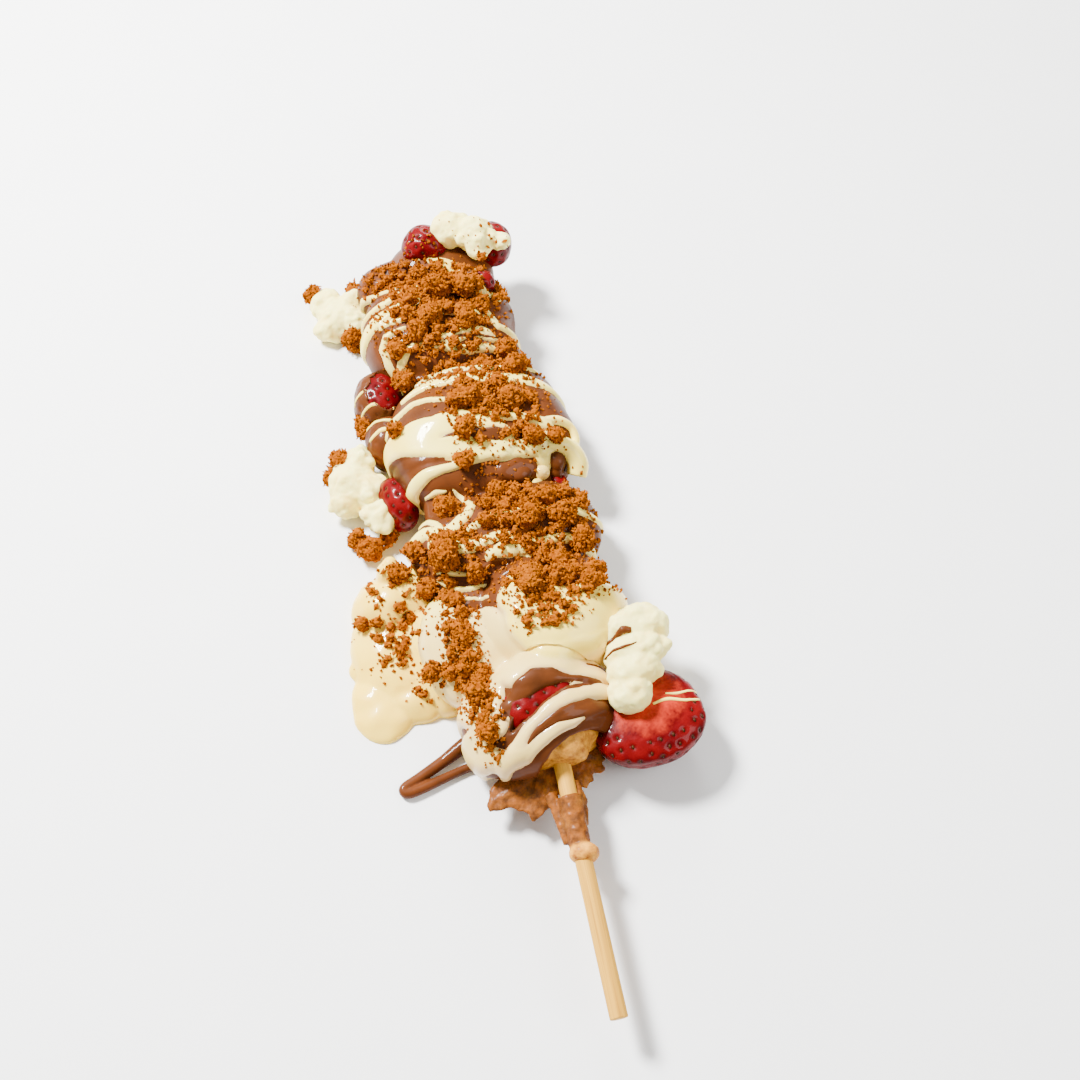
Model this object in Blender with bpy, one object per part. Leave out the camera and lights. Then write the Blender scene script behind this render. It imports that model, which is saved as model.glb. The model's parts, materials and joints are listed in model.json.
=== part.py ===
"""A lobed waffle baked on a wooden stick, coated in chocolate and strewn with toppings.

It lies on its flat underside with the dressed side up, as it is served. Objects are in
metres, +Z up. Shapes are worked out in millimetres: x across the waffle, y along it from
the end where the stick comes out (the stick runs towards -Y), z up from the table. The
last step moves everything so that the origin is the bottom centre of the bounding box.
"""

import math
import random

import bmesh
import bpy
from mathutils import Matrix, Vector, noise
from mathutils.bvhtree import BVHTree

MM = 0.001
GAP = 0.3

# Waffle body: rounded lobes in a row over a lower core.
WAFFLE_LENGTH = 205.0
CORE_CENTRE = (-4.0, 101.0, 11.5)
CORE_HALF = (20.0, 97.0, 7.5)
# Each lobe: (x, y, z) of its centre, (x, y, z) half sizes, turn about Z in degrees.
LOBES = (
    ((-3.5, 13.5, 12.5), (20.5, 15.0, 12.5), 10.0),
    ((6.0, 45.0, 13.0), (19.5, 18.5, 14.5), -8.0),
    ((-17.0, 42.0, 9.5), (15.0, 18.0, 10.5), 6.0),
    ((-2.5, 75.0, 12.0), (29.0, 17.0, 12.5), 6.0),
    ((-3.0, 115.5, 13.5), (30.0, 25.5, 14.5), 9.0),
    ((-9.5, 163.0, 13.0), (25.5, 22.5, 13.5), -5.0),
    ((-4.0, 192.5, 12.0), (17.5, 12.5, 12.5), -8.0),
    ((-22.0, 191.0, 9.5), (12.0, 8.0, 9.5), 14.0),
)
LOBE_ROUNDNESS = 2.35
CORE_ROUNDNESS = 3.6
KNOB_CENTRE = (2.0, 3.2, 15.0)
KNOB_HALF = (8.2, 8.0, 8.5)

# Thin ragged batter that ran out of the iron at the stick's end.
FLASH_THICKNESS = 2.2
FLASH_HEIGHT = 11.0
SLEEVE_START = -11.5
SLEEVE_END = -26.0
SLEEVE_RADII = (3.7, 2.95)
BEAD_CENTRE = (0.6, -28.0, 13.0)
BEAD_HALF = (4.3, 2.9, 4.2)

# The large cut strawberry: its cut side is the upper half, squashed along the tilt.
CUT_BERRY_CENTRE = (27.5, 8.5, 14.5)
CUT_BERRY_HALF = (17.0, 15.5, 15.5)
CUT_BERRY_TILT = (-0.05, 0.12, 1.0)
CUT_BERRY_SQUASH = 0.68

STICK_DIAMETER = 5.0
STICK_HEIGHT = 13.0
STICK_OUT = 72.0
STICK_IN = 120.0
STICK_SIDES = 20

COAT_THICKNESS = 2.1
COAT_TRIANGLES = 3100
COAT_HEM = 4.2
COAT_HEM_WAVE = 1.6

CRUMB_SEED = 11
# Large single lumps of biscuit crumb: x, y, radius.
CRUMB_LUMPS = (
    (-13.0, 183.0, 3.4),
    (-8.0, 172.0, 4.8),
    (1.7, 171.0, 4.2),
    (-0.3, 160.0, 4.2),
    (-12.0, 160.0, 4.0),
    (-17.0, 155.0, 3.2),
    (-25.0, 151.0, 2.8),
    (-24.5, 142.0, 3.4),
    (10.5, 146.0, 3.4),
    (2.5, 139.0, 2.6),
    (13.0, 134.0, 3.5),
    (-6.0, 121.0, 4.8),
    (8.0, 118.0, 4.8),
    (-8.5, 108.5, 3.0),
    (-30.0, 116.0, 2.7),
    (-11.0, 99.5, 3.2),
    (13.0, 103.5, 3.4),
    (14.2, 188.0, 3.2),
    (18.4, 181.0, 3.2),
    (-19.0, 85.0, 3.5),
    (-22.0, 68.0, 5.2),
    (-37.0, 69.5, 3.1),
    (-30.4, 73.0, 3.0),
    (-28.5, 62.5, 3.4),
    (-13.8, 61.0, 3.1),
    (16.5, 76.0, 4.2),
    (4.5, 74.5, 4.4),
    (11.5, 81.0, 3.3),
    (-2.2, 87.3, 2.8),
    (20.0, 67.0, 3.6),
    (1.0, 50.2, 4.4),
    (10.7, 50.0, 4.3),
    (18.6, 45.8, 3.8),
    (-23.5, 53.0, 3.0),
    (-21.5, 40.5, 3.1),
    (-31.5, 33.0, 2.8),
    (-20.0, 20.0, 3.2),
    (-19.0, 8.0, 3.2),
)
# Heaps of smaller lumps: centre x, y, half sizes across and along, number, turn in degrees.
CRUMB_HEAPS = (
    (-8.0, 164.0, 14.0, 18.0, 4, 0.0),
    (3.0, 120.0, 11.0, 8.0, 2, 0.0),
    (7.0, 79.0, 17.0, 11.0, 5, 0.0),
    (9.0, 53.0, 13.0, 7.0, 3, 0.0),
    (-21.5, 36.0, 3.0, 20.0, 3, 4.0),
)
CRUMB_RADII = (1.9, 3.3)
# Runs of white chocolate that hang off the right side: centre and radius along each.
LOOP_RUNS = (
    (
        ((14.0, 108.0, 27.2), 1.4),
        ((18.0, 109.4, 27.4), 1.8),
        ((22.5, 110.2, 25.6), 2.0),
        ((26.4, 109.0, 22.6), 1.9),
        ((28.2, 104.8, 20.4), 1.8),
    ),
    (
        ((16.0, 102.4, 24.6), 2.6),
        ((21.0, 102.6, 23.6), 3.3),
        ((25.4, 100.4, 20.6), 3.4),
        ((27.6, 96.4, 17.4), 3.1),
        ((26.6, 92.8, 14.8), 3.0),
        ((23.6, 91.6, 13.6), 2.6),
    ),
)
# White drizzle laid across the coat: y at the left and right ends, x at both, radius.
DRIZZLE_BANDS = (
    (171.0, 177.0, -33.0, 2.0, 2.2),
    (157.0, 164.0, -33.0, 6.0, 1.9),
    (139.0, 143.0, -22.0, 17.0, 2.2),
    (119.0, 113.0, -31.0, 16.0, 3.2),
    (99.0, 103.0, -29.0, 12.0, 2.0),
    (60.0, 58.0, -22.0, -4.0, 1.8),
    (7.0, 15.0, -17.0, 14.0, 2.4),
)


# ---------------------------------------------------------------- making and joining meshes


def clear_scene():
    """Start from an empty scene."""
    for obj in list(bpy.data.objects):
        bpy.data.objects.remove(obj, do_unlink=True)


def linked(name, bm):
    """A bmesh written to a new object in the scene."""
    mesh = bpy.data.meshes.new(name)
    bm.to_mesh(mesh)
    bm.free()
    obj = bpy.data.objects.new(name, mesh)
    bpy.context.scene.collection.objects.link(obj)
    return obj


def baked(obj):
    """Apply the object's modifiers."""
    depsgraph = bpy.context.evaluated_depsgraph_get()
    mesh = bpy.data.meshes.new_from_object(obj.evaluated_get(depsgraph))
    old = obj.data
    obj.modifiers.clear()
    obj.data = mesh
    bpy.data.meshes.remove(old)
    return obj


def duplicate(obj, name):
    """A second object with its own copy of the mesh."""
    copy = bpy.data.objects.new(name, obj.data.copy())
    bpy.context.scene.collection.objects.link(copy)
    return copy


def remove(objects):
    """Delete objects and their meshes."""
    for obj in objects:
        mesh = obj.data
        bpy.data.objects.remove(obj, do_unlink=True)
        bpy.data.meshes.remove(mesh)


def boolean(obj, others, operation, delete=True):
    """One Boolean of an object with a collection of others."""
    collection = bpy.data.collections.new("operands")
    bpy.context.scene.collection.children.link(collection)
    for other in others:
        collection.objects.link(other)
    modifier = obj.modifiers.new(operation, "BOOLEAN")
    modifier.operation = operation
    modifier.operand_type = "COLLECTION"
    modifier.collection = collection
    modifier.solver = "EXACT"
    baked(obj)
    bpy.data.collections.remove(collection)
    if delete:
        remove(others)
    return obj


def swollen(obj, amount):
    """A copy of an object, larger by an even amount all over."""
    copy = duplicate(obj, "swollen")
    modifier = copy.modifiers.new("Displace", "DISPLACE")
    modifier.strength = amount
    modifier.mid_level = 0.0
    return baked(copy)


def largest_body(obj):
    """Keep the largest loose body of a mesh, and drop scraps that a cut left."""
    bm = bmesh.new()
    bm.from_mesh(obj.data)
    bmesh.ops.triangulate(bm, faces=bm.faces)
    groups = []
    seen = set()
    for start in bm.verts:
        if start.index in seen:
            continue
        group = [start]
        seen.add(start.index)
        for vert in group:
            for edge in vert.link_edges:
                other = edge.other_vert(vert)
                if other.index not in seen:
                    seen.add(other.index)
                    group.append(other)
        groups.append(group)
    groups.sort(key=len, reverse=True)
    for group in groups[1:]:
        bmesh.ops.delete(bm, geom=group, context="VERTS")
    bmesh.ops.recalc_face_normals(bm, faces=bm.faces)
    bm.to_mesh(obj.data)
    bm.free()
    return obj


def fitted(obj, neighbours, gap=GAP):
    """Cut an object back from its neighbours, which stay as they are, leaving the gap."""
    cutters = [swollen(neighbour, gap) for neighbour in neighbours]
    return largest_body(boolean(obj, cutters, "DIFFERENCE"))


def on_table(obj):
    """Cut away what is under the table and close the flat underside."""
    bm = bmesh.new()
    bm.from_mesh(obj.data)
    bmesh.ops.bisect_plane(
        bm,
        geom=bm.verts[:] + bm.edges[:] + bm.faces[:],
        dist=0.001,
        plane_co=(0.0, 0.0, 0.0),
        plane_no=(0.0, 0.0, -1.0),
        clear_outer=True,
    )
    rim = [edge for edge in bm.edges if edge.is_boundary]
    bmesh.ops.holes_fill(bm, edges=rim)
    bmesh.ops.triangulate(bm, faces=bm.faces)
    bmesh.ops.recalc_face_normals(bm, faces=bm.faces)
    bm.to_mesh(obj.data)
    bm.free()
    return obj


def add_rounded(bm, centre, half, roundness=2.0, turn=0.0, lean=0.0, detail=4):
    """Add a superellipsoid: 2 is an ellipsoid, more is boxier. Turn is about Z, lean about Y."""
    ball = bmesh.ops.create_icosphere(bm, subdivisions=detail, radius=1.0)
    place = Matrix.Rotation(math.radians(turn), 4, "Z") @ Matrix.Rotation(math.radians(lean), 4, "Y")
    for vert in ball["verts"]:
        total = sum(abs(value) ** roundness for value in vert.co)
        vert.co /= total ** (1.0 / roundness)
        local = Vector((vert.co.x * half[0], vert.co.y * half[1], vert.co.z * half[2]))
        vert.co = place @ local + Vector(centre)
    return ball["verts"]


def add_tube(bm, points, radii, sides=8, flatness=1.0):
    """Add a closed tube through points, with a radius at each and rounded ends."""
    rings = []
    for index, point in enumerate(points):
        ahead = points[min(index + 1, len(points) - 1)]
        behind = points[max(index - 1, 0)]
        along = (ahead - behind).normalized()
        side = along.cross(Vector((0.0, 0.0, 1.0))).normalized()
        upward = side.cross(along)
        ring = []
        for step in range(sides):
            angle = 2.0 * math.pi * step / sides
            offset = side * math.cos(angle) + upward * math.sin(angle) * flatness
            ring.append(bm.verts.new(point + offset * radii[index]))
        rings.append(ring)
    for first, second in zip(rings, rings[1:]):
        for step in range(sides):
            after = (step + 1) % sides
            bm.faces.new((first[step], first[after], second[after], second[step]))
    for ring, end, inner in ((rings[0], points[0], points[1]), (rings[-1], points[-1], points[-2])):
        reach = (end - inner).normalized() * radii[0] * 0.6
        tip = bm.verts.new(end + reach)
        for step in range(sides):
            bm.faces.new((ring[step], ring[(step + 1) % sides], tip))
    bmesh.ops.recalc_face_normals(bm, faces=bm.faces)


def roughened(bm, verts, size, depth, seed):
    """Push vertices in and out with smooth noise of a given size, so that no two pieces match."""
    bmesh.ops.recalc_face_normals(bm, faces=bm.faces)
    bm.normal_update()
    shift = Vector((seed * 17.3, seed * 5.1, seed * 9.7))
    for vert in verts:
        vert.co += vert.normal * noise.noise(vert.co / size + shift) * depth


def thinned(obj, triangles):
    """Collapse edges until about the given number of triangles is left."""
    present = sum(len(face.vertices) - 2 for face in obj.data.polygons)
    decimate = obj.modifiers.new("Decimate", "DECIMATE")
    decimate.ratio = min(1.0, triangles / present)
    decimate.use_collapse_triangulate = True
    return baked(obj)


def merged(obj, voxel, triangles, smoothing=4):
    """Turn overlapping shapes into one closed skin with about the given number of triangles."""
    remesh = obj.modifiers.new("Remesh", "REMESH")
    remesh.mode = "VOXEL"
    remesh.voxel_size = voxel
    smooth = obj.modifiers.new("Smooth", "SMOOTH")
    smooth.factor = 0.5
    smooth.iterations = smoothing
    return thinned(baked(obj), triangles)


# ---------------------------------------------------------------- the stick and the waffle


def make_stick():
    """A round wooden stick, cut square at its free end."""
    bm = bmesh.new()
    length = STICK_OUT + STICK_IN
    bmesh.ops.create_cone(
        bm,
        cap_ends=True,
        segments=STICK_SIDES,
        radius1=STICK_DIAMETER / 2.0,
        radius2=STICK_DIAMETER / 2.0,
        depth=length,
    )
    caps = [edge for edge in bm.edges if abs(edge.calc_face_angle(0.0) - math.pi / 2.0) < 0.1]
    bmesh.ops.bevel(
        bm, geom=caps, offset=0.35, segments=1, profile=0.5, affect="EDGES", material=-1
    )
    middle = (STICK_IN - STICK_OUT) / 2.0
    place = Matrix.Translation((0.0, middle, STICK_HEIGHT)) @ Matrix.Rotation(math.pi / 2.0, 4, "X")
    bmesh.ops.transform(bm, matrix=place, verts=bm.verts)
    bmesh.ops.triangulate(bm, faces=bm.faces)
    return linked("stick", bm)


def add_body(bm, extra):
    """Add the waffle's lobes and core, each larger by an even amount."""
    grow = Vector((extra, extra, extra))
    for index, (centre, half, turn) in enumerate(LOBES):
        verts = add_rounded(bm, centre, Vector(half) + grow, LOBE_ROUNDNESS, turn)
        roughened(bm, verts, 14.0, 1.6, index + 1)
    add_rounded(bm, CORE_CENTRE, Vector(CORE_HALF) + grow, CORE_ROUNDNESS)


def flash_edge(angle):
    """How far the ragged sheet reaches from the stick's entry, by direction (0 is +X)."""
    left = 21.5 * math.exp(-(((angle + 160.0) / 24.0) ** 2)) + 15.5 * math.exp(-(((angle + 118.0) / 26.0) ** 2))
    right = 16.0 * math.exp(-(((angle - 4.0) / 30.0) ** 2)) + 13.0 * math.exp(-(((angle + 48.0) / 26.0) ** 2))
    ragged = 0.9 * math.sin(math.radians(angle * 11.0)) + 0.6 * math.sin(math.radians(angle * 23.0))
    return max(4.5, left, right) + ragged


def add_flash(bm):
    """Add the thin sheet of overflow that fans out round the stick."""
    entry = Vector((-1.0, 2.0, FLASH_HEIGHT))
    tops = []
    bottoms = []
    steps = 36
    for step in range(steps + 1):
        angle = -190.0 + 210.0 * step / steps
        reach = flash_edge(angle)
        direction = Vector((math.cos(math.radians(angle)), math.sin(math.radians(angle)), 0.0))
        row_top = []
        row_bottom = []
        for part in (0.35, 0.7, 1.0):
            point = entry + direction * reach * part
            point.z -= 2.6 * part * part * reach / 20.0
            point.z += 0.5 * noise.noise(point / 4.0)
            half = FLASH_THICKNESS / 2.0 * (1.15 - 0.65 * part)
            row_top.append(bm.verts.new(point + Vector((0.0, 0.0, half))))
            row_bottom.append(bm.verts.new(point - Vector((0.0, 0.0, half))))
        tops.append(row_top)
        bottoms.append(row_bottom)
    for index in range(steps):
        for ring in range(2):
            bm.faces.new(
                (tops[index][ring], tops[index][ring + 1], tops[index + 1][ring + 1], tops[index + 1][ring])
            )
            bm.faces.new(
                (bottoms[index][ring], bottoms[index + 1][ring], bottoms[index + 1][ring + 1], bottoms[index][ring + 1])
            )
        for ring in (0, 2):
            bm.faces.new((tops[index][ring], tops[index + 1][ring], bottoms[index + 1][ring], bottoms[index][ring]))
    for index in (0, steps):
        for ring in range(2):
            bm.faces.new(
                (tops[index][ring], bottoms[index][ring], bottoms[index][ring + 1], tops[index][ring + 1])
            )
    bmesh.ops.recalc_face_normals(bm, faces=bm.faces)


def add_sleeve(bm):
    """Add the batter that crept down the stick: a tapered sleeve, a fin each side and a bead."""
    start = Vector((0.0, SLEEVE_START, STICK_HEIGHT))
    end = Vector((0.0, SLEEVE_END - 1.0, STICK_HEIGHT))
    add_tube(bm, [start, (start + end) / 2.0, end], [SLEEVE_RADII[0], 3.4, SLEEVE_RADII[1]], sides=16)
    left_fin = [Vector((-5.0, -9.0, 11.5)), Vector((-4.2, -16.0, 11.8)), Vector((-3.6, -24.5, 12.2))]
    add_tube(bm, left_fin, [3.6, 2.4, 1.4], sides=8, flatness=0.36)
    right_fin = [Vector((2.2, -7.0, 11.6)), Vector((3.4, -13.0, 11.8)), Vector((2.8, -20.0, 12.2))]
    add_tube(bm, right_fin, [1.9, 2.1, 1.3], sides=8, flatness=0.5)
    cradle = [Vector((-1.0, 3.0, 9.2)), Vector((-0.6, -6.0, 9.6)), Vector((0.0, -14.0, 10.4))]
    add_tube(bm, cradle, [3.4, 2.9, 2.2], sides=8, flatness=0.5)
    add_rounded(bm, BEAD_CENTRE, BEAD_HALF, 2.2, turn=-8.0, detail=3)


def make_waffle(stick):
    """The lobed body with its flash and sleeve, bored for the stick and flat underneath."""
    bm = bmesh.new()
    add_body(bm, 0.0)
    verts = add_rounded(bm, KNOB_CENTRE, KNOB_HALF, 2.2)
    roughened(bm, verts, 6.0, 1.0, 9)
    body = merged(linked("waffle", bm), 1.7, 1600, smoothing=2)
    bm = bmesh.new()
    add_flash(bm)
    flash = linked("flash", bm)
    bm = bmesh.new()
    add_sleeve(bm)
    sleeve = merged(linked("sleeve", bm), 0.6, 420, smoothing=1)
    boolean(body, [flash, sleeve], "UNION")
    boolean(body, [swollen(stick, GAP)], "DIFFERENCE")
    return on_table(largest_body(body))


# ---------------------------------------------------------------- coat, drizzle and crumbs


def coat_hem(x, y):
    """Height of the coat's lower edge over the table: it runs down further in places."""
    wave = math.sin(y * 0.23) + 0.6 * math.sin(y * 0.61 + x * 0.05)
    return COAT_HEM + COAT_HEM_WAVE * wave * 0.6


def make_hem_cutter():
    """A slab whose wavy top is the coat's lower edge."""
    bm = bmesh.new()
    bmesh.ops.create_grid(bm, x_segments=2, y_segments=34, size=1.0)
    for vert in bm.verts:
        x = vert.co.x * 70.0
        y = WAFFLE_LENGTH / 2.0 + vert.co.y * 140.0
        vert.co = Vector((x, y, coat_hem(x, y)))
    base = bmesh.ops.extrude_face_region(bm, geom=bm.faces[:])
    for vert in base["geom"]:
        if isinstance(vert, bmesh.types.BMVert):
            vert.co.z = -20.0
    bmesh.ops.recalc_face_normals(bm, faces=bm.faces)
    return linked("hem", bm)


def make_bare_end_cutter():
    """The end of the waffle that the coat leaves bare, round the knob and the stick."""
    bm = bmesh.new()
    add_rounded(bm, (5.0, -3.5, 13.0), (12.0, 12.0, 12.0), 2.0, turn=-25.0, detail=3)
    add_rounded(bm, (-2.0, -8.0, 3.0), (30.0, 12.5, 8.0), 2.4, detail=3)
    add_rounded(bm, (-14.0, -8.5, 9.0), (12.0, 9.5, 5.0), 2.4, detail=3)
    return linked("bare_end", bm)


def height_over(tree, x, y):
    """The point and normal where a plumb line at x, y meets a surface from above."""
    point, normal, _, _ = tree.ray_cast(Vector((x, y, 90.0)), Vector((0.0, 0.0, -1.0)))
    return point, normal


def surface_of(obj):
    """A search tree of an object's faces."""
    bm = bmesh.new()
    bm.from_mesh(obj.data)
    tree = BVHTree.FromBMesh(bm)
    bm.free()
    return tree


def make_drizzle(tree):
    """Ribbons of white chocolate that follow the coat from side to side."""
    ribbons = []
    for left_y, right_y, left_x, right_x, radius in DRIZZLE_BANDS:
        count = 7
        points = []
        radii = []
        for step in range(count):
            part = step / (count - 1)
            x = left_x + (right_x - left_x) * part
            y = left_y + (right_y - left_y) * part + 1.2 * math.sin(part * 9.0 + left_y)
            point, _ = height_over(tree, x, y)
            if point is None:
                continue
            points.append(point - Vector((0.0, 0.0, radius * 0.35)))
            radii.append(radius * (0.8 + 0.3 * math.sin(part * 11.0 + left_y)))
        bm = bmesh.new()
        add_tube(bm, points, radii, sides=8)
        ribbons.append(linked("ribbon", bm))
    return ribbons


def make_loop_drips():
    """The white chocolate that curls off the waffle's right side: a thin arc and a fat hook below it."""
    drips = []
    for run in LOOP_RUNS:
        bm = bmesh.new()
        add_tube(bm, [Vector(centre) for centre, _ in run], [radius for _, radius in run], sides=8)
        drips.append(linked("loop", bm))
    return drips


def crumb_places():
    """Where the lumps lie in plan, as (x, y, radius): the single ones, then each heap's."""
    draw = random.Random(CRUMB_SEED)
    placed = list(CRUMB_LUMPS)
    for centre_x, centre_y, half_x, half_y, count, turn in CRUMB_HEAPS:
        lean = math.radians(turn)
        wanted = len(placed) + count
        for _ in range(300):
            if len(placed) == wanted:
                break
            angle = draw.uniform(0.0, 2.0 * math.pi)
            reach = math.sqrt(draw.random())
            radius = draw.uniform(*CRUMB_RADII)
            across = half_x * reach * math.cos(angle)
            along = half_y * reach * math.sin(angle)
            x = centre_x + across * math.cos(lean) - along * math.sin(lean)
            y = centre_y + across * math.sin(lean) + along * math.cos(lean)
            if all(math.hypot(x - a, y - b) > (radius + other) * 0.85 for a, b, other in placed):
                placed.append((x, y, radius))
    return placed


def make_crumbs(tree):
    """Lumps of biscuit crumb, each sunk a little into the coat."""
    draw = random.Random(CRUMB_SEED)
    lumps = []
    for x, y, radius in crumb_places():
        point, normal = height_over(tree, x, y)
        if normal is None:
            continue
        centre = point + normal * radius * 0.45
        bm = bmesh.new()
        verts = add_rounded(bm, centre, (radius,) * 3, 2.4, draw.uniform(0.0, 180.0), detail=1)
        for vert in verts:
            vert.co += (vert.co - centre) * draw.uniform(-0.18, 0.14)
        lumps.append(linked("lump", bm))
    return lumps


def make_coat(waffle, strawberries):
    """Milk and white chocolate over the lobes, with drizzle and crumbs fused on."""
    bm = bmesh.new()
    add_body(bm, COAT_THICKNESS)
    add_rounded(bm, (-2.0, 25.0, 21.0), (15.0, 9.5, 9.5), 2.2, turn=22.0, detail=3)
    add_rounded(bm, (4.0, 174.5, 25.5), (7.5, 6.0, 6.0), 2.0, turn=-10.0, detail=3)
    coat = merged(linked("coat", bm), 1.7, 2300, smoothing=2)
    tree = surface_of(coat)
    pieces = make_drizzle(tree) + make_loop_drips() + make_crumbs(tree)
    boolean(coat, pieces, "UNION")
    merged(coat, 0.9, COAT_TRIANGLES, smoothing=1)
    boolean(coat, [make_hem_cutter(), make_bare_end_cutter()], "DIFFERENCE")
    return fitted(coat, [waffle] + strawberries, GAP * 1.3)


# ---------------------------------------------------------------- toppings


def make_berry(name, centre, half, turn, seed, lean=0.0, triangles=130):
    """A whole or halved strawberry without its leaves, slightly irregular."""
    bm = bmesh.new()
    verts = add_rounded(bm, centre, half, 2.15, turn, lean, detail=3)
    roughened(bm, verts, 9.0, 0.9, seed)
    return thinned(linked(name, bm), triangles)


def make_cut_berry():
    """The large strawberry half beside the stick, its cut side up and only slightly domed."""
    bm = bmesh.new()
    centre = Vector(CUT_BERRY_CENTRE)
    verts = add_rounded(bm, centre, CUT_BERRY_HALF, 2.1, turn=8.0, detail=4)
    for vert in verts:
        across = (vert.co.x - centre.x) / CUT_BERRY_HALF[0]
        vert.co.y -= 2.2 * across * across
    roughened(bm, verts, 11.0, 0.8, 21)
    tilt = Vector(CUT_BERRY_TILT).normalized()
    for vert in verts:
        height = (vert.co - centre).dot(tilt)
        if height > 0.0:
            vert.co -= tilt * height * CUT_BERRY_SQUASH
    return on_table(thinned(linked("strawberry_half", bm), 280))


def make_cream(name, balls, triangles, seed):
    """A spoonful of whipped cream: overlapping soft lumps run together."""
    bm = bmesh.new()
    for index, (centre, half, turn) in enumerate(balls):
        verts = add_rounded(bm, centre, half, 2.0, turn, detail=3)
        roughened(bm, verts, 3.6, 1.0, seed + index)
    return on_table(merged(linked(name, bm), 0.8, triangles, smoothing=2))


CREAM_LEFT = (
    ((-48.0, 111.0, 7.0), (8.6, 8.5, 7.4), 0.0),
    ((-46.0, 118.5, 8.0), (5.8, 6.0, 5.8), 0.0),
    ((-43.0, 107.0, 8.0), (5.8, 6.0, 5.6), 0.0),
    ((-51.0, 105.5, 5.2), (5.8, 5.6, 5.4), 0.0),
    ((-40.0, 96.6, 7.0), (6.0, 6.0, 6.0), 0.0),
    ((-42.0, 101.5, 4.6), (5.0, 5.5, 5.0), 0.0),
)
CREAM_FAR_LEFT = (
    ((-42.5, 188.0, 5.0), (9.0, 9.0, 6.2), 0.0),
    ((-48.0, 195.0, 4.5), (6.5, 7.5, 5.2), 0.0),
    ((-38.5, 183.5, 5.0), (5.5, 6.5, 5.8), 0.0),
    ((-47.5, 184.0, 3.5), (6.5, 5.5, 4.4), 0.0),
    ((-37.0, 192.0, 6.0), (5.5, 5.5, 5.0), 0.0),
)
CREAM_FAR = (
    ((1.5, 199.5, 29.0), (7.8, 7.2, 6.6), 0.0),
    ((9.5, 194.5, 30.0), (6.6, 7.4, 6.4), 0.0),
    ((6.5, 189.0, 29.5), (4.6, 4.4, 4.4), 0.0),
    ((14.5, 191.5, 29.5), (4.2, 3.6, 3.6), 0.0),
    ((18.3, 189.8, 29.0), (3.4, 3.0, 3.2), 0.0),
)
CREAM_RIGHT = (
    ((29.5, 33.0, 21.5), (11.5, 7.5, 7.5), 0.0),
    ((28.5, 25.5, 22.5), (10.2, 5.6, 6.8), 0.0),
    ((26.0, 19.0, 22.5), (8.8, 5.2, 6.4), 0.0),
    ((23.3, 12.6, 22.0), (6.9, 6.0, 5.8), 0.0),
)
POOL = (
    ((-40.0, 50.0, 0.0), (17.5, 22.0, 9.0), 0.0),
    ((-49.0, 33.0, 0.0), (10.5, 13.0, 4.6), 0.0),
    ((-37.0, 36.0, 0.0), (12.0, 12.0, 7.0), 0.0),
    ((-29.0, 46.0, 0.0), (11.0, 22.0, 13.5), 0.0),
    ((-43.0, 64.0, 2.0), (12.0, 11.0, 11.5), 0.0),
    ((-41.0, 71.5, 9.0), (5.2, 5.0, 7.5), 0.0),
    ((-33.0, 66.0, 6.0), (9.0, 9.0, 9.0), 0.0),
)


def make_drip():
    """A folded run of milk chocolate on the table, joined to nothing but touching the coat."""
    path = (
        (-20.0, 16.0, 2.6), (-26.0, 14.5, 2.2), (-34.0, 10.5, 1.7), (-42.0, 6.8, 1.5), (-46.2, 4.9, 1.5),
        (-46.8, 3.6, 1.5), (-45.2, 2.9, 1.5), (-40.0, 3.9, 1.4), (-32.0, 6.0, 1.3), (-26.0, 7.2, 1.3),
        (-21.0, 6.0, 1.6),
    )
    radii = (3.0, 2.5, 1.9, 1.7, 1.7, 1.7, 1.7, 1.6, 1.4, 1.4, 1.6)
    bm = bmesh.new()
    add_tube(bm, [Vector(point) for point in path], radii, sides=8)
    return on_table(merged(linked("chocolate_drip", bm), 0.5, 140, smoothing=1))


# ---------------------------------------------------------------- finish

# Colour (linear RGB), roughness.
FINISHES = {
    "wood": ((0.86, 0.62, 0.30), 0.6),
    "waffle": ((0.45, 0.17, 0.04), 0.7),
    "chocolate": ((0.27, 0.10, 0.04), 0.3),
    "white": ((0.93, 0.83, 0.58), 0.3),
    "cream": ((0.93, 0.88, 0.72), 0.5),
    "berry": ((0.55, 0.02, 0.03), 0.35),
}
MATERIAL_OF = {
    "stick": "wood",
    "waffle": "waffle",
    "chocolate_coat": "chocolate",
    "chocolate_drip": "chocolate",
    "white_chocolate_pool": "white",
}


def finished(objects):
    """Move the origin to the bottom centre of the whole, go to metres and add materials."""
    corners = [vert.co for obj in objects for vert in obj.data.vertices]
    low = Vector([min(corner[axis] for corner in corners) for axis in range(3)])
    high = Vector([max(corner[axis] for corner in corners) for axis in range(3)])
    origin = Vector(((low.x + high.x) / 2.0, (low.y + high.y) / 2.0, low.z))
    place = Matrix.Scale(MM, 4) @ Matrix.Translation(-origin)
    materials = {}
    for name, (colour, roughness) in FINISHES.items():
        material = bpy.data.materials.new(name)
        material.use_nodes = True
        shader = material.node_tree.nodes["Principled BSDF"]
        shader.inputs["Base Color"].default_value = (*colour, 1.0)
        shader.inputs["Roughness"].default_value = roughness
        materials[name] = material
    for obj in objects:
        obj.data.transform(place)
        kind = "cream" if obj.name.startswith("cream") else "berry"
        obj.data.materials.clear()
        obj.data.materials.append(materials[MATERIAL_OF.get(obj.name, kind)])
        obj.data.shade_smooth()
        obj.data.set_sharp_from_angle(angle=math.radians(40.0))


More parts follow.
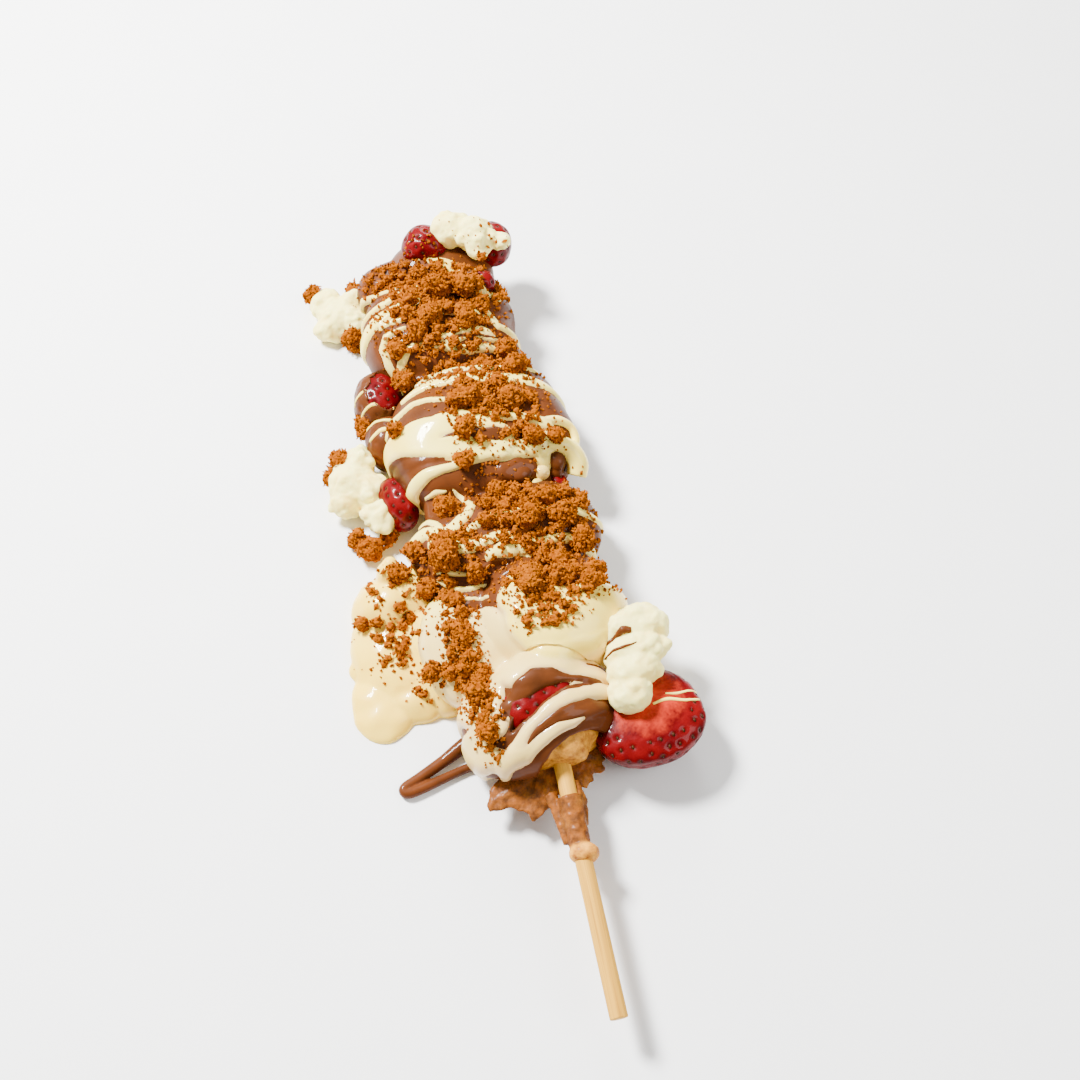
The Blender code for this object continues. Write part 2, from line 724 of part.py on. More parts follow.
def build():
    """Make every piece, in the order in which each is cut to fit those before it."""
    clear_scene()
    stick = make_stick()
    waffle = make_waffle(stick)
    end_berry = fitted(make_berry("strawberry_end", (-3.0, 17.0, 22.0), (13.5, 9.0, 6.5), 22.0, 3), [waffle])
    far_bit = fitted(make_berry("strawberry_far_bit", (8.5, 173.0, 26.5), (6.0, 5.0, 4.5), 0.0, 5), [waffle])
    coat = make_coat(waffle, [end_berry, far_bit])
    coat.name = "chocolate_coat"
    solids = [stick, waffle, end_berry, far_bit, coat]
    side_pieces = (
        make_berry("strawberry_far_left", (-8.5, 197.5, 25.0), (8.5, 7.5, 7.0), 10.0, 7),
        make_berry("strawberry_far_right", (15.0, 196.5, 22.5), (8.0, 8.5, 7.5), -12.0, 8),
        make_berry("strawberry_side_far", (-34.5, 141.5, 9.5), (8.5, 11.0, 9.3), 6.0, 12),
        make_berry("coated_strawberry_side", (-33.5, 125.0, 8.0), (7.5, 9.5, 8.2), -8.0, 13),
        make_berry("strawberry_side_near", (-34.5, 99.5, 8.5), (5.5, 9.5, 8.5), 20.0, 14, lean=18.0),
        make_berry("strawberry_right_bit", (19.8, 93.0, 14.6), (3.4, 3.2, 3.4), 0.0, 15, triangles=80),
        make_cut_berry(),
        make_cream("cream_left", CREAM_LEFT, 300, 31),
        make_cream("cream_far_left", CREAM_FAR_LEFT, 220, 41),
        make_cream("cream_far", CREAM_FAR, 240, 51),
        make_cream("cream_right", CREAM_RIGHT, 280, 61),
        make_cream("white_chocolate_pool", POOL, 240, 71),
        make_drip(),
    )
    for piece in side_pieces:
        on_table(piece)
        solids.append(fitted(piece, solids))
    finished(solids)


if __name__ == "__main__":
    build()
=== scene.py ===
"""Looks of a dessert waffle on a stick: glazed, poured over, and heaped with crumbs, berries and cream.

Every piece is worked out in millimetres, in the maker's own coordinates: x across the waffle,
y along it from the stick's entry, z up from the table. dressed() then moves it into the frame.
"""
import json
import math
import random

import bmesh
import bpy
import numpy as np
from bpy.props import FloatProperty, FloatVectorProperty, IntProperty, PointerProperty
from bpy.types import Operator, Panel, PropertyGroup
from mathutils import Matrix, Vector, noise
from mathutils.bvhtree import BVHTree
from mathutils.kdtree import KDTree

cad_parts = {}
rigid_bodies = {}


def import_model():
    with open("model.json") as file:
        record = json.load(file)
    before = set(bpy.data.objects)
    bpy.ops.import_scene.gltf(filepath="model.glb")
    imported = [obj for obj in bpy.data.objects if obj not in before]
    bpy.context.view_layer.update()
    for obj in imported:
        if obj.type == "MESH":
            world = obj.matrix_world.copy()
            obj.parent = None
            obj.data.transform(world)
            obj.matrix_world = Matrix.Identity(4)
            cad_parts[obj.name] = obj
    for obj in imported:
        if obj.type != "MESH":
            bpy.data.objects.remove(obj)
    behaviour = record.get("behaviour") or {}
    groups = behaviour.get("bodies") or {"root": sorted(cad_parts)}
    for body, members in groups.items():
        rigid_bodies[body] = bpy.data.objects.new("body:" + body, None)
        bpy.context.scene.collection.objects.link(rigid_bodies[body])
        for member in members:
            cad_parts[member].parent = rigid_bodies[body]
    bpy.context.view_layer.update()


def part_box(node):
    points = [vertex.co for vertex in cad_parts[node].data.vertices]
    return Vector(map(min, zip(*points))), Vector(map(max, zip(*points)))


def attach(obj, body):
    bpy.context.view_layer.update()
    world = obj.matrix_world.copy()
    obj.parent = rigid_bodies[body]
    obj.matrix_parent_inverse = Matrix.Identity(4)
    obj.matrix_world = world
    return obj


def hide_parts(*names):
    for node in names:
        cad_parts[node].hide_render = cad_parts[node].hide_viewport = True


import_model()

bl_info = {
    "name": "Waffle stick",
    "version": (1, 0),
    "blender": (4, 5, 0),
    "location": "View3D > Sidebar > Waffle Stick",
    "description": "Builds a glazed waffle on a stick with its toppings",
    "category": "Add Mesh",
}

MM = 0.001
STICK_LOW, STICK_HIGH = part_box("stick")
STICK_HEIGHT = (STICK_LOW[2] + STICK_HIGH[2]) / MM / 2.0
STICK_OUT = 72.0
# From the maker's millimetres to the frame's metres: the stick's free end and axis are shared.
TO_FRAME = Matrix.Translation(
    ((STICK_LOW[0] + STICK_HIGH[0]) / 2.0, STICK_LOW[1] + STICK_OUT * MM, 0.0)
) @ Matrix.Scale(MM, 4)
FROM_FRAME = TO_FRAME.inverted()

# ---------------------------------------------------------------- sizes, in millimetres

# Nothing reaches above TALLEST. What would be higher than SQUEEZED is pressed together below it.
TALLEST = 38.0
SQUEEZED = 35.6
CORE = ((-4, 101, 11.5), (20, 97, 7.5), 3.6)
LOBE_ROUNDNESS = 2.35
# Centre, half sizes and turn in degrees of each lobe of the waffle.
LOBES = (
    ((-3.5, 13.5, 12.5), (20.5, 15, 12.5), 10),
    ((6, 45, 13), (19.5, 18.5, 14.5), -8),
    ((-17, 42, 9.5), (15, 18, 10.5), 6),
    ((-2.5, 75, 12), (29, 17, 12.5), 6),
    ((-3, 115.5, 13.5), (30, 25.5, 14.5), 9),
    ((-9.5, 163, 13), (25.5, 22.5, 13.5), -5),
    ((-4, 192.5, 12), (17.5, 12.5, 12.5), -8),
    ((-22, 191, 9.5), (12, 8, 9.5), 14),
)
# The batter that overflowed round the stick: lobes as reach, direction and width in degrees, the
# first two to the left and the others to the right, and ridges as centre and radius along each.
OVERFLOW_LOBES = ((21.5, -160.0, 24.0), (17.0, -118.0, 28.0), (13.8, 4.0, 34.0), (11.4, -50.0, 34.0))
OVERFLOW_RIDGES = (
    (((-5.0, -9.0, 11.5), 2.0), ((-4.2, -16.0, 11.8), 1.4), ((-3.6, -24.5, 12.2), 0.9)),
    (((2.2, -7.0, 11.6), 1.7), ((3.4, -13.0, 11.8), 1.7), ((2.8, -20.0, 12.2), 1.0)),
    (((-1.0, 3.0, 9.2), 2.6), ((-0.6, -6.0, 9.6), 2.3), ((0.0, -14.0, 10.4), 1.8)),
)
# Places where the glaze humps over fruit: centre, half sizes, roundness, turn.
GLAZE_HUMPS = (
    ((-2.5, 22, 19.8), (14, 9, 8.8), 2.2, 22),
    ((4, 174.5, 25.5), (7.5, 6, 6), 2, -10),
)
# Where the glaze leaves the waffle bare round the stick: centre, half sizes, turn.
BARE_END = (
    ((5, -3.5, 13), (12, 12, 12), -25),
    ((-2, -8, 3), (30, 12.5, 8), 0),
    ((-14, -8.5, 9), (12, 9.5, 5), 0),
)
# Slits where fruit shows through the glaze, as x, y, radius along each.
FRUIT_SLITS = (
    (
        (-13, 7.6, 0.5), (-9.5, 10.6, 1.5), (-5.5, 13.2, 1.8), (-1, 15.2, 1.4), (3, 16.8, 0.7),
        (6.5, 17.8, 0.2),
    ),
    ((9, 175, 1.5), (9.8, 172, 2)),
)

# Strokes of the two chocolates in the order in which they were poured: kind, thickness,
# then x, y, radius along the stroke. Those that start at x -44 or end at x 36 run down the side.
POURS = (
    ("white", 0.7, ((-8, 190, 1), (-4, 187.5, 2.6), (2, 182.5, 3), (9, 180.5, 2.6), (20, 180, 1.6))),
    ("white", 0.5, ((-12.5, 190, 0.5), (-10.5, 192.5, 0.8), (-7, 194.5, 0.6))),
    ("white", 0.6, (
        (-44, 183, 0.7), (-35, 185, 0.7), (-30, 182.5, 0.9), (-24.5, 179, 0.9), (-19, 178, 0.5),
    )),
    ("white", 0.8, (
        (-36.5, 171.5, 1), (-28, 172, 1.6), (-21, 174, 1.4), (-10, 176, 1.8), (4, 172, 2.2),
        (13, 168, 1.2),
    )),
    ("white", 1.1, (
        (-46, 157, 2.4), (-36, 163.6, 3.4), (-30, 165.4, 3.2), (-24, 167, 2.6), (-16, 168.5, 2),
    )),
    ("white", 0.8, (
        (-29, 161.5, 1), (-18, 162.5, 1.6), (-6, 163, 2.2), (6, 161.5, 2), (11, 155, 1.4), (36, 150, 0.8),
    )),
    ("white", 0.8, (
        (-27, 143.5, 0.9), (-29.7, 149.1, 1.1), (-30.6, 154, 1.1), (-28, 157.2, 1.3), (-22, 158, 0.8),
    )),
    ("white", 0.7, ((-25.2, 142, 1.5), (-24.8, 147, 1.7), (-21.5, 150, 1.4), (-15, 151, 0.8))),
    ("white", 0.9, (
        (-12, 152.5, 1.2), (-6.5, 151.5, 2.4), (0, 153.6, 2.8), (5.5, 151.6, 2.4), (10, 149, 1),
    )),
    ("brown", 0.5, ((-9, 151, 0.3), (-2, 151.6, 0.5), (5, 150.4, 0.4), (10, 150.5, 0.3))),
    ("white", 0.7, (
        (-16, 149, 0.7), (-8, 148.3, 1.3), (-1, 147.3, 1.5), (6, 147, 1.3), (14, 144, 1), (36, 139, 0.9),
    )),
    ("white", 0.8, (
        (-21.5, 138.2, 0.5), (-17, 140.2, 1.1), (-9.8, 140.2, 1.5), (-1.7, 137.4, 1.4), (8, 136.4, 1.1),
        (20, 134, 0.9),
    )),
    ("white", 1, (
        (-27, 130.6, 0.9), (-22, 133, 1.6), (-15.7, 134, 2.2), (-8.4, 132.4, 2.6), (4, 130.6, 2.6),
        (13, 129, 2.4), (22, 126, 1.8), (38, 120, 1.6),
    )),
    ("white", 0.8, (
        (-44, 114, 0.9), (-36, 119.5, 0.9), (-30.5, 123.2, 1), (-24, 125.8, 1.2), (-18, 124.9, 1.1),
        (-10, 122.6, 1), (2, 122, 0.8),
    )),
    ("white", 1.5, (
        (-46, 108.5, 3), (-36, 111.8, 3.6), (-31, 112, 5.2), (-25, 111.2, 6.6), (-17, 109.6, 7.8),
        (-9, 108.4, 8.8), (0, 105, 7),
    )),
    ("white", 1.1, ((-2, 114.5, 2.2), (4, 113.4, 2), (12, 111, 1.8), (18, 109, 2.4))),
    ("brown", 0.9, (
        (-16.5, 108.6, 0.2), (-10, 108.9, 0.8), (-4, 107.4, 2), (1, 106.4, 2.6), (5, 106.4, 1.4),
    )),
    ("white", 1.1, ((1, 100.6, 2.4), (6, 101, 3), (11, 101, 3), (17.5, 102.5, 3), (22, 103, 2.2))),
    ("white", 1.3, ((14.6, 97.4, 2.8), (15.5, 99.5, 2.4))),
    ("brown", 0.6, (
        (-48, 103, 2.4), (-34, 106.6, 2.6), (-28, 103.6, 1.8), (-22, 102.6, 0.9), (-16.5, 101.8, 0.2),
    )),
    ("white", 1, (
        (-38, 92, 1.6), (-30.5, 96.6, 2.3), (-27.8, 97.2, 2.2), (-22.6, 98, 1.8), (-15.3, 99, 1.4),
        (-4.6, 99.6, 1.2), (2, 99.6, 0.9),
    )),
    ("brown", 1.3, ((2, 95, 3), (6, 94.6, 3.9), (9.5, 94.4, 3.2))),
    ("white", 0.7, ((11, 90.4, 1.2), (12.5, 91.4, 0.9))),
    ("white", 0.5, ((-25, 93.8, 0.3), (-21.8, 93.3, 0.6), (-18, 92.4, 0.3))),
    ("white", 0.7, (
        (-15.5, 92, 0.3), (-13.2, 89, 0.8), (-11, 85, 1.4), (-13.5, 81, 1.6), (-18, 77.6, 2.2),
        (-23, 74.6, 3),
    )),
    ("white", 1, ((-44, 73, 2.2), (-33, 77.5, 2.6), (-27, 78.6, 2.2), (-23.5, 76.5, 2.6))),
    ("white", 0.6, ((-28.5, 85, 0.7), (-25, 83.5, 1.1), (-22, 78, 1))),
    ("white", 0.6, ((-42, 84, 0.4), (-34, 88, 0.4), (-28, 90.5, 0.4))),
    ("white", 1, ((-24, 74, 3.2), (-18.6, 71, 3.6), (-13.5, 69, 2.4))),
    ("white", 0.8, (
        (-12.5, 75.5, 1.5), (-7, 77.5, 1.7), (-1.2, 77.4, 1.7), (6, 79, 1.4), (16, 78, 1.6),
        (36, 73, 1.2),
    )),
    ("white", 0.7, ((-9, 69.4, 1.9), (-5, 70, 1.6), (6, 67, 1.4), (18, 67.5, 1.5), (36, 62, 1.3))),
    ("white", 0.5, ((-26, 63.4, 0.4), (-23, 62.8, 0.6), (-19.9, 62.4, 0.6), (-16, 61.4, 0.3))),
    ("white", 0.7, (
        (-26, 62, 0.3), (-23, 59.6, 0.6), (-20, 57.6, 1.1), (-16.6, 57, 1), (-11.8, 57.2, 0.9),
    )),
    ("white", 0.5, (
        (-23.1, 57.4, 0.3), (-21.3, 54.8, 0.6), (-18.5, 53.4, 0.7), (-16, 53.4, 0.5), (-11.8, 52, 0.6),
    )),
    ("white", 1.2, ((-34, 62, 3), (-29, 50, 6.5), (-27, 38, 9), (-22, 24, 9.5), (-18.5, 12, 6))),
    ("white", 1.2, ((-14.5, 44, 5.2), (-12, 34, 8.4), (-7, 26, 7.8), (6, 24, 7), (20, 26, 7))),
    ("white", 2.9, (
        (-0.5, 47, 9), (3, 40, 11.4), (5.5, 36, 11.4), (12, 36, 11), (18, 39, 9.5), (36, 42, 7),
    )),
    ("white", 1.6, ((-8.4, 64.2, 2.2), (-4.2, 65.2, 2.7), (0, 65.6, 2.3), (8, 62, 1.4))),
    ("brown", 0.5, ((-12.5, 61.8, 0.5), (-6.8, 62.2, 0.8), (-1, 62.3, 0.6))),
    ("brown", 0.9, ((-13, 58.4, 0.8), (-6.7, 57.6, 1.8), (-1, 58.4, 1.4), (6, 58.6, 0.8))),
    ("brown", 1, (
        (-14.2, 11, 0.8), (-12.6, 14.4, 1.9), (-8.5, 17.6, 2.9), (-3.5, 19.4, 3.1), (1.5, 19.8, 2.2),
        (7, 18.9, 1), (15, 17.8, 0.8),
    )),
    ("white", 1.3, (
        (-17, -0.5, 2.4), (-12, 2.2, 2.5), (-8, 5.8, 2.4), (-2.6, 9, 2.5), (4.8, 12.4, 2.7), (14, 15, 2.6),
        (24, 17, 2.6),
    )),
    ("brown", 1, (
        (-9.6, 1.4, 0.4), (-8.3, 3, 1), (-4.5, 5.4, 1.6), (2.2, 7.6, 2.3), (9.9, 9, 3), (14, 9.6, 2.2),
    )),
    ("white", 1.1, (
        (-26, 8, 4), (-21.8, 3, 3), (-16.8, 0.4, 2.6), (-10.3, 0.2, 2.1), (-5, 2.6, 1.7), (0.5, 4.6, 1.7),
        (4.9, 5.6, 1.1), (8, 6.6, 0.5),
    )),
    ("brown", 0.6, ((12, 23.5, 0.3), (18, 22.5, 0.5), (36, 21, 0.7))),
)
# Where the sauce over the near end gets the thin colour, partly because the sauce is thin over the glaze and
# partly as painted shade: all of it up to the first y, none past the second.
THIN_AND_SHADED_END = (44, 58)
# Where the runs hang off the right side: past this x, and between these two y.
LOOP_LEFT = 20.0
LOOP_NEAR = 89.0
LOOP_FAR = 113.0
# Those runs of white chocolate: centre and radius along each.
LOOP_RUNS = (
    (
        ((14, 108, 27.2), 1.4),
        ((18, 109.4, 27.4), 1.8),
        ((22.5, 110.2, 25.6), 1.9),
        ((26.4, 109, 22.8), 1.6),
        ((27.6, 105.4, 21), 1.5),
        ((26.6, 102.4, 20.4), 1.6),
    ),
    (
        ((16, 102.4, 24.6), 2.4),
        ((21, 102.6, 23.4), 3.1),
        ((25, 100.6, 20.6), 3.6),
        ((26.6, 97.2, 17.6), 3.7),
        ((25.4, 94.2, 15.4), 3.6),
    ),
)
# Drops beside the runs: centre, half sizes.
LOOP_DROPS = (
    ((14.6, 99.2, 23), (2.7, 2.3, 2.5)),
    ((13.6, 94.4, 20.8), (3, 2.7, 2.9)),
    ((18.6, 105.4, 26.6), (1.8, 3.4, 1.4)),
)
MILK_DROPS = (
    ((19.6, 98.4, 20.4), (3.1, 4.2, 3.4)),
    ((18.9, 95.4, 17.6), (2.6, 2.6, 3.2)),
    ((6, 94.4, 23), (4.6, 3.6, 2.6)),
)

# What the crumbs fall on.
UNDER_CRUMBS = (
    "milk_chocolate_glaze", "white_chocolate_pour", "white_sauce_pool", "cream_left_curds",
    "cream_far_left_curds", "cream_far_curds", "strawberry_side_far_skin",
    "coated_strawberry_side_skin", "strawberry_end_skin", "strawberry_far_left_skin",
)
# Crumbs: single large lumps as x, y, radius, then heaps as centre x, y, half sizes, turn, number.
CRUMB_SEED = 11
CRUMB_LUMPS = (
    (-13, 183, 3.4),
    (-8, 172, 4.8),
    (1.7, 171, 4.2),
    (-0.3, 160, 4.2),
    (-12, 160, 4),
    (-17, 155, 3.2),
    (-25, 151, 2.8),
    (-24.5, 142, 3.4),
    (10.5, 146, 3.4),
    (2.5, 139, 2.6),
    (13, 134, 3.5),
    (-6, 121, 4.8),
    (8, 118, 4.8),
    (-8.5, 108.5, 3),
    (-30, 116, 2.7),
    (-11, 99.5, 3.2),
    (13, 103.5, 3.4),
    (18.4, 181, 3.2),
    (-19, 85, 3.5),
    (-22, 68, 5.2),
    (-37, 69.5, 3.1),
    (-30.4, 73, 3),
    (-28.5, 62.5, 3.4),
    (-13.8, 61, 3.1),
    (16.5, 76, 4.2),
    (4.5, 74.5, 4.4),
    (11.5, 81, 3.3),
    (-2.2, 87.3, 2.8),
    (20, 67, 3.6),
    (1, 50.2, 4.4),
    (10.7, 50, 4.3),
    (18.6, 45.8, 3.8),
    (-23.5, 53, 3),
    (-21.5, 40.5, 3.1),
    (-31.5, 33, 2.8),
    (-20, 20, 3.2),
    (-19, 8, 3.2),
)
CRUMB_HEAPS = (
    (-8, 164, 14, 18, 0, 4),
    (3, 120, 11, 8, 0, 2),
    (7, 79, 17, 11, 0, 5),
    (9, 53, 13, 7, 0, 3),
    (-21.5, 36, 3, 20, 4, 3),
)
CRUMB_RADII = (1.9, 3.3)
CRUMB_TRIES = 300
# Where the smaller crumbs fall, as centre x, y, half sizes, turn, share of them.
CRUMB_FALL = (
    (-9, 165, 15, 20, 0, 0.21),
    (13, 180, 5, 11, 0, 0.04),
    (-24, 188, 8, 5, 0, 0.03),
    (3, 134, 13, 8, 0, 0.05),
    (2, 117, 13, 12, 0, 0.10),
    (8, 79, 15, 14, 0, 0.21),
    (9, 51, 14, 7, 0, 0.08),
    (4, 40, 8, 5, 0, 0.035),
    (-22, 66, 9, 8, 0, 0.05),
    (-22, 46, 4, 10, -12, 0.055),
    (-21.5, 28, 3.8, 11, 0, 0.06),
    (-19.5, 12, 3.4, 8, 0, 0.04),
    (-30, 32, 7, 3, 0, 0.015),
    (-42, 55, 9, 12, 0, 0.05),
    (-9.5, 193, 7, 5, 0, 0.03),
)
# Where no small crumbs lie: centre x, y, radius.
CLEARINGS = (
    (-16.5, 56, 6.2),
    (19, 93.5, 7),
    (5, 95, 5),
    (-24, 110, 11),
    (3, 27, 8),
    (14, 91.5, 6),
    (-4, 15, 9),
    (8, 196, 13),
)
# Loose bits and dust: how far past CRUMB_FALL they spread, their share in the clearings, how high
# their middles sit, the range of their sizes and the range of their shades.
LOOSE_BITS = (1.6, 0.12, 0.3, (0.6, 1.5), (0.6, 1.0))
DUST = (1.8, 0.35, 0.1, (0.4, 1.0), (0.8, 1.0))
# Lumps that lie against the side of something: centre and radius.
SIDE_LUMPS = (
    ((-40.5, 133, 9), 4.4),
    ((-40.5, 177, 4.5), 4.2),
    ((-37, 199, 4.2), 3.4),
    ((-53, 201, 4.2), 3.2),
    ((-51.4, 120.5, 8.4), 3.9),
    ((-54.2, 116, 7), 3.4),
    ((-45.5, 86.6, 3.9), 4),
    ((-50, 92.4, 2.9), 2.8),
    ((-39.2, 90.4, 3.4), 2.8),
    ((20.3, 103.4, 27.6), 2.8),
)

# Whole or halved strawberries: centre, half sizes, turn, seed, lean.
BERRIES = {
    "strawberry_end": ((-3, 17, 21.6), (13.5, 8.6, 6.3), 22, 3, 0),
    "strawberry_far_bit": ((7.6, 174, 26.3), (5.4, 4.6, 4.3), 0, 5, 0),
    "strawberry_far_left": ((-8.5, 197.5, 25), (8.5, 7.5, 7), 10, 7, 0),
    "strawberry_far_right": ((15, 196.5, 22.5), (8, 8.5, 7.5), -12, 8, 0),
    "strawberry_side_far": ((-34.5, 141.5, 9.5), (8.5, 11, 9.3), 6, 12, 0),
    "coated_strawberry_side": ((-33.5, 125, 8), (7.5, 9.5, 8.2), -8, 13, 0),
    "strawberry_side_near": ((-34.5, 99.5, 8.5), (5.5, 9.5, 8.5), 20, 14, 18),
    "strawberry_right_bit": ((19.3, 92.4, 15.6), (3.3, 3.2, 3.4), 0, 15, 0),
}
CUT_BERRY = ((27.5, 8.5, 14.5), (17, 15.5, 15.5), 8, 21)
CUT_TILT = (-0.05, 0.12, 1)
CUT_SQUASH = 0.68
CUT_FACE = 0.81

# How much of a berry stays bare of its coat: the side that faces a direction, past a threshold.
COATS = {
    "strawberry_side_far": ((0.55, 0.1, 0.83), 0.62),
    "coated_strawberry_side": ((0, 0, 1), 2),
}
# Thin lines that run over other pieces: the piece under each, its finish, then x, y, radius.
DRIZZLES = (
    ("strawberry_half_skin", "white_chocolate", (
        (34, 11.7, 0.3), (37.5, 11.2, 0.45), (41, 11.6, 0.4), (45, 11.4, 0.3),
    )),
    ("strawberry_half_skin", "white_chocolate", (
        (29.5, 9, 0.4), (34, 9.8, 0.6), (39.5, 8.6, 0.5), (45.4, 8.6, 0.4),
    )),
    ("cream_right_curds", "milk_chocolate", (
        (16.4, 24.2, 0.2), (20.9, 24.7, 0.5), (24.6, 24.9, 0.45), (28, 25.3, 0.2),
    )),
    ("cream_right_curds", "milk_chocolate", (
        (17.4, 26.8, 0.3), (19.5, 28, 0.5), (22, 29.2, 0.7), (23.7, 30.2, 0.5),
    )),
    ("cream_right_curds", "milk_chocolate", ((22.5, 29.3, 0.6), (25, 30.2, 1.4), (27.5, 29.8, 1))),
    ("strawberry_side_far_coat", "white_chocolate", (
        (-43.5, 140, 0.4), (-38, 141.5, 0.6), (-33, 139, 0.6), (-28, 139.5, 0.4),
    )),
    ("strawberry_side_far_coat", "white_chocolate", (
        (-42, 134.5, 0.4), (-36.5, 135.5, 0.7), (-30, 133.5, 0.5),
    )),
    ("coated_strawberry_side_coat", "white_chocolate", (
        (-40.5, 129, 0.5), (-36, 130, 0.8), (-29, 128, 0.6),
    )),
    ("coated_strawberry_side_coat", "white_chocolate", ((-40, 123, 0.6), (-35, 125, 1), (-28, 124, 0.7))),
)

# Spoonfuls of cream: centre and half sizes of the lumps that each is made of.
CREAMS = {
    "cream_left": (
        ((-48, 111, 7), (8.6, 8.5, 7.4)),
        ((-44.8, 118.5, 8), (5.2, 6, 5.8)),
        ((-43, 107, 8), (5.8, 6, 5.6)),
        ((-51, 105.5, 5.2), (5.8, 5.6, 5.4)),
        ((-40, 96.6, 7), (6, 6, 6)),
        ((-42, 101.5, 4.6), (5, 5.5, 5)),
    ),
    "cream_far_left": (
        ((-42.5, 188, 5), (9, 9, 6.2)),
        ((-48, 195, 4.5), (6.5, 7.5, 5.2)),
        ((-38.5, 183.5, 5), (5.5, 6.5, 5.8)),
        ((-47.5, 184, 3.5), (6.5, 5.5, 4.4)),
        ((-37, 192, 6), (5.5, 5.5, 5)),
    ),
    "cream_far": (
        ((1.5, 199.5, 29), (7.8, 7.2, 6.6)),
        ((9.5, 194.5, 30), (6.6, 7.4, 6.4)),
        ((9.6, 188.8, 29.5), (4.6, 4.6, 4.6)),
        ((14.5, 191.5, 29.5), (4.2, 3.6, 3.6)),
        ((18.3, 189.8, 29), (3.4, 3, 3.2)),
    ),
    "cream_right": (
        ((29.5, 33, 21.5), (11.5, 7.5, 7.5)),
        ((28.5, 25.5, 22.5), (10.2, 5.6, 6.8)),
        ((26, 19, 22.5), (8.8, 5.2, 6.4)),
        ((23.3, 12.6, 22), (6.9, 6, 5.8)),
    ),
}
# Curds on each lump of a spoonful.
CURDS = {"cream_left": 12, "cream_far_left": 12, "cream_far": 4, "cream_right": 4}
# The pool of white sauce on the table: centre and half sizes of what it is made of.
POOL = (
    ((-40, 50, 0), (17.5, 22, 9)),
    ((-49, 33, 0), (10.5, 13, 4.6)),
    ((-37, 36, 0), (12, 12, 7)),
    ((-29, 46, 0), (11, 22, 13.5)),
    ((-43, 64, 2), (12, 11, 11.5)),
    ((-40.5, 72, 8), (5.2, 4.8, 8.8)),
    ((-40.2, 74.2, 13.4), (2.9, 2.5, 3.6)),
    ((-33, 66, 6), (9, 9, 9)),
    ((-52.6, 41, 0), (4.6, 2.6, 2)),
    ((-54.2, 46, 0), (4, 4, 2.6)),
)
# The folded run of milk chocolate on the table: centre, radius.
DRIP_RUN = (
    ((-20, 16, 2.6), 3),
    ((-26, 14.5, 2.2), 2.5),
    ((-34, 10.5, 1.7), 1.9),
    ((-42, 6.8, 1.5), 1.7),
    ((-46.2, 4.9, 1.5), 1.7),
    ((-46.8, 3.6, 1.5), 1.7),
    ((-45.2, 2.9, 1.5), 1.7),
    ((-40, 3.9, 1.4), 1.6),
    ((-32, 6, 1.3), 1.4),
    ((-26, 7.2, 1.3), 1.4),
    ((-21, 6, 1.6), 1.6),
)


# ---------------------------------------------------------------- settings that a user would change


def linear(code):
    """A linear RGB colour from an sRGB hex value."""
    parts = [int(code[start:start + 2], 16) / 255.0 for start in (0, 2, 4)]
    return tuple(part / 12.92 if part <= 0.04045 else ((part + 0.055) / 1.055) ** 2.4 for part in parts)


def colour(name, code):
    """A colour setting."""
    return FloatVectorProperty(
        name=name,
        description=name + " colour",
        subtype="COLOR",
        size=3,
        min=0.0,
        max=1.0,
        default=linear(code),
    )


def length(name, description, size):
    """A length setting, given in millimetres."""
    return FloatProperty(name=name, description=description, default=size * MM, min=0.0, unit="LENGTH")


class WaffleStickSizes(PropertyGroup):
    """Sizes of the waffle stick's finish."""

    glaze_depth: length("Glaze depth", "Milk chocolate over the waffle", 2.1)
    glaze_grain: length("Glaze grid", "Finest detail of the chocolate surfaces", 0.68)
    hem_height: length("Hem height", "Mean height of the glaze's lower edge", 4.2)
    hem_wave: length("Hem wave", "How far the lower edge runs up and down", 0.96)
    seed_spacing: length("Seed spacing", "Distance between strawberry seeds", 3.1)
    grain_size: length("Crumb grain", "Size of one biscuit grain", 1.15)
    clump_count: IntProperty(name="Small clumps", description="Clumps of a few grains", default=1350)
    bit_count: IntProperty(name="Loose bits", description="Loose crumbs of one or two grains", default=2500)
    curl_share: FloatProperty(name="Curls", description="Share of lump points with a flake", default=0.062)
    dust_count: IntProperty(name="Dust", description="Specks of crumb dust", default=2200)


class WaffleStickColours(PropertyGroup):
    """Colours of the waffle stick's materials."""

    milk: colour("Milk chocolate", "582C10")
    milk_deep: colour("Milk chocolate, deep", "40200A")
    white: colour("White chocolate", "FFE36C")
    white_deep: colour("White chocolate, deep", "FACF48")
    # The thin colour is thin sauce with brown showing through, and also painted shade over the near end.
    white_thin: colour("White chocolate, thin", "D4B074")
    # The light crumb colour is the pale crumb tone and also painted light on grain tops; the dark crumb
    # colour is painted shade in the gaps between grains.
    crumb_light: colour("Crumb, light", "965002")
    crumb: colour("Crumb", "763802")
    crumb_dark: colour("Crumb, dark", "3A1801")
    berry: colour("Strawberry skin", "4C0105")
    berry_bright: colour("Strawberry, bright", "720407")
    berry_flesh: colour("Strawberry flesh", "B83018")
    seed: colour("Strawberry seed", "3A1E08")
    cream: colour("Cream", "FFEF94")
    cream_deep: colour("Cream, deep", "F8DC78")
    crust_light: colour("Crust, light", "DA9630")
    crust: colour("Crust", "8A4C14")
    crust_dark: colour("Crust, dark", "4E2A0C")
    wood: colour("Stick", "D8A034")
    wood_dark: colour("Stick grain", "AC7824")
    floor: colour("Floor", "F4F4F3")


# ---------------------------------------------------------------- making meshes


def millimetres(name):
    """A length that the user has set."""
    return getattr(bpy.context.scene.waffle_stick_sizes, name) / MM


def paint(name, share=1.0):
    """A colour that the user has set, or a darker share of it, with full alpha."""
    return (*[value * share for value in getattr(bpy.context.scene.waffle_stick_colours, name)], 1.0)


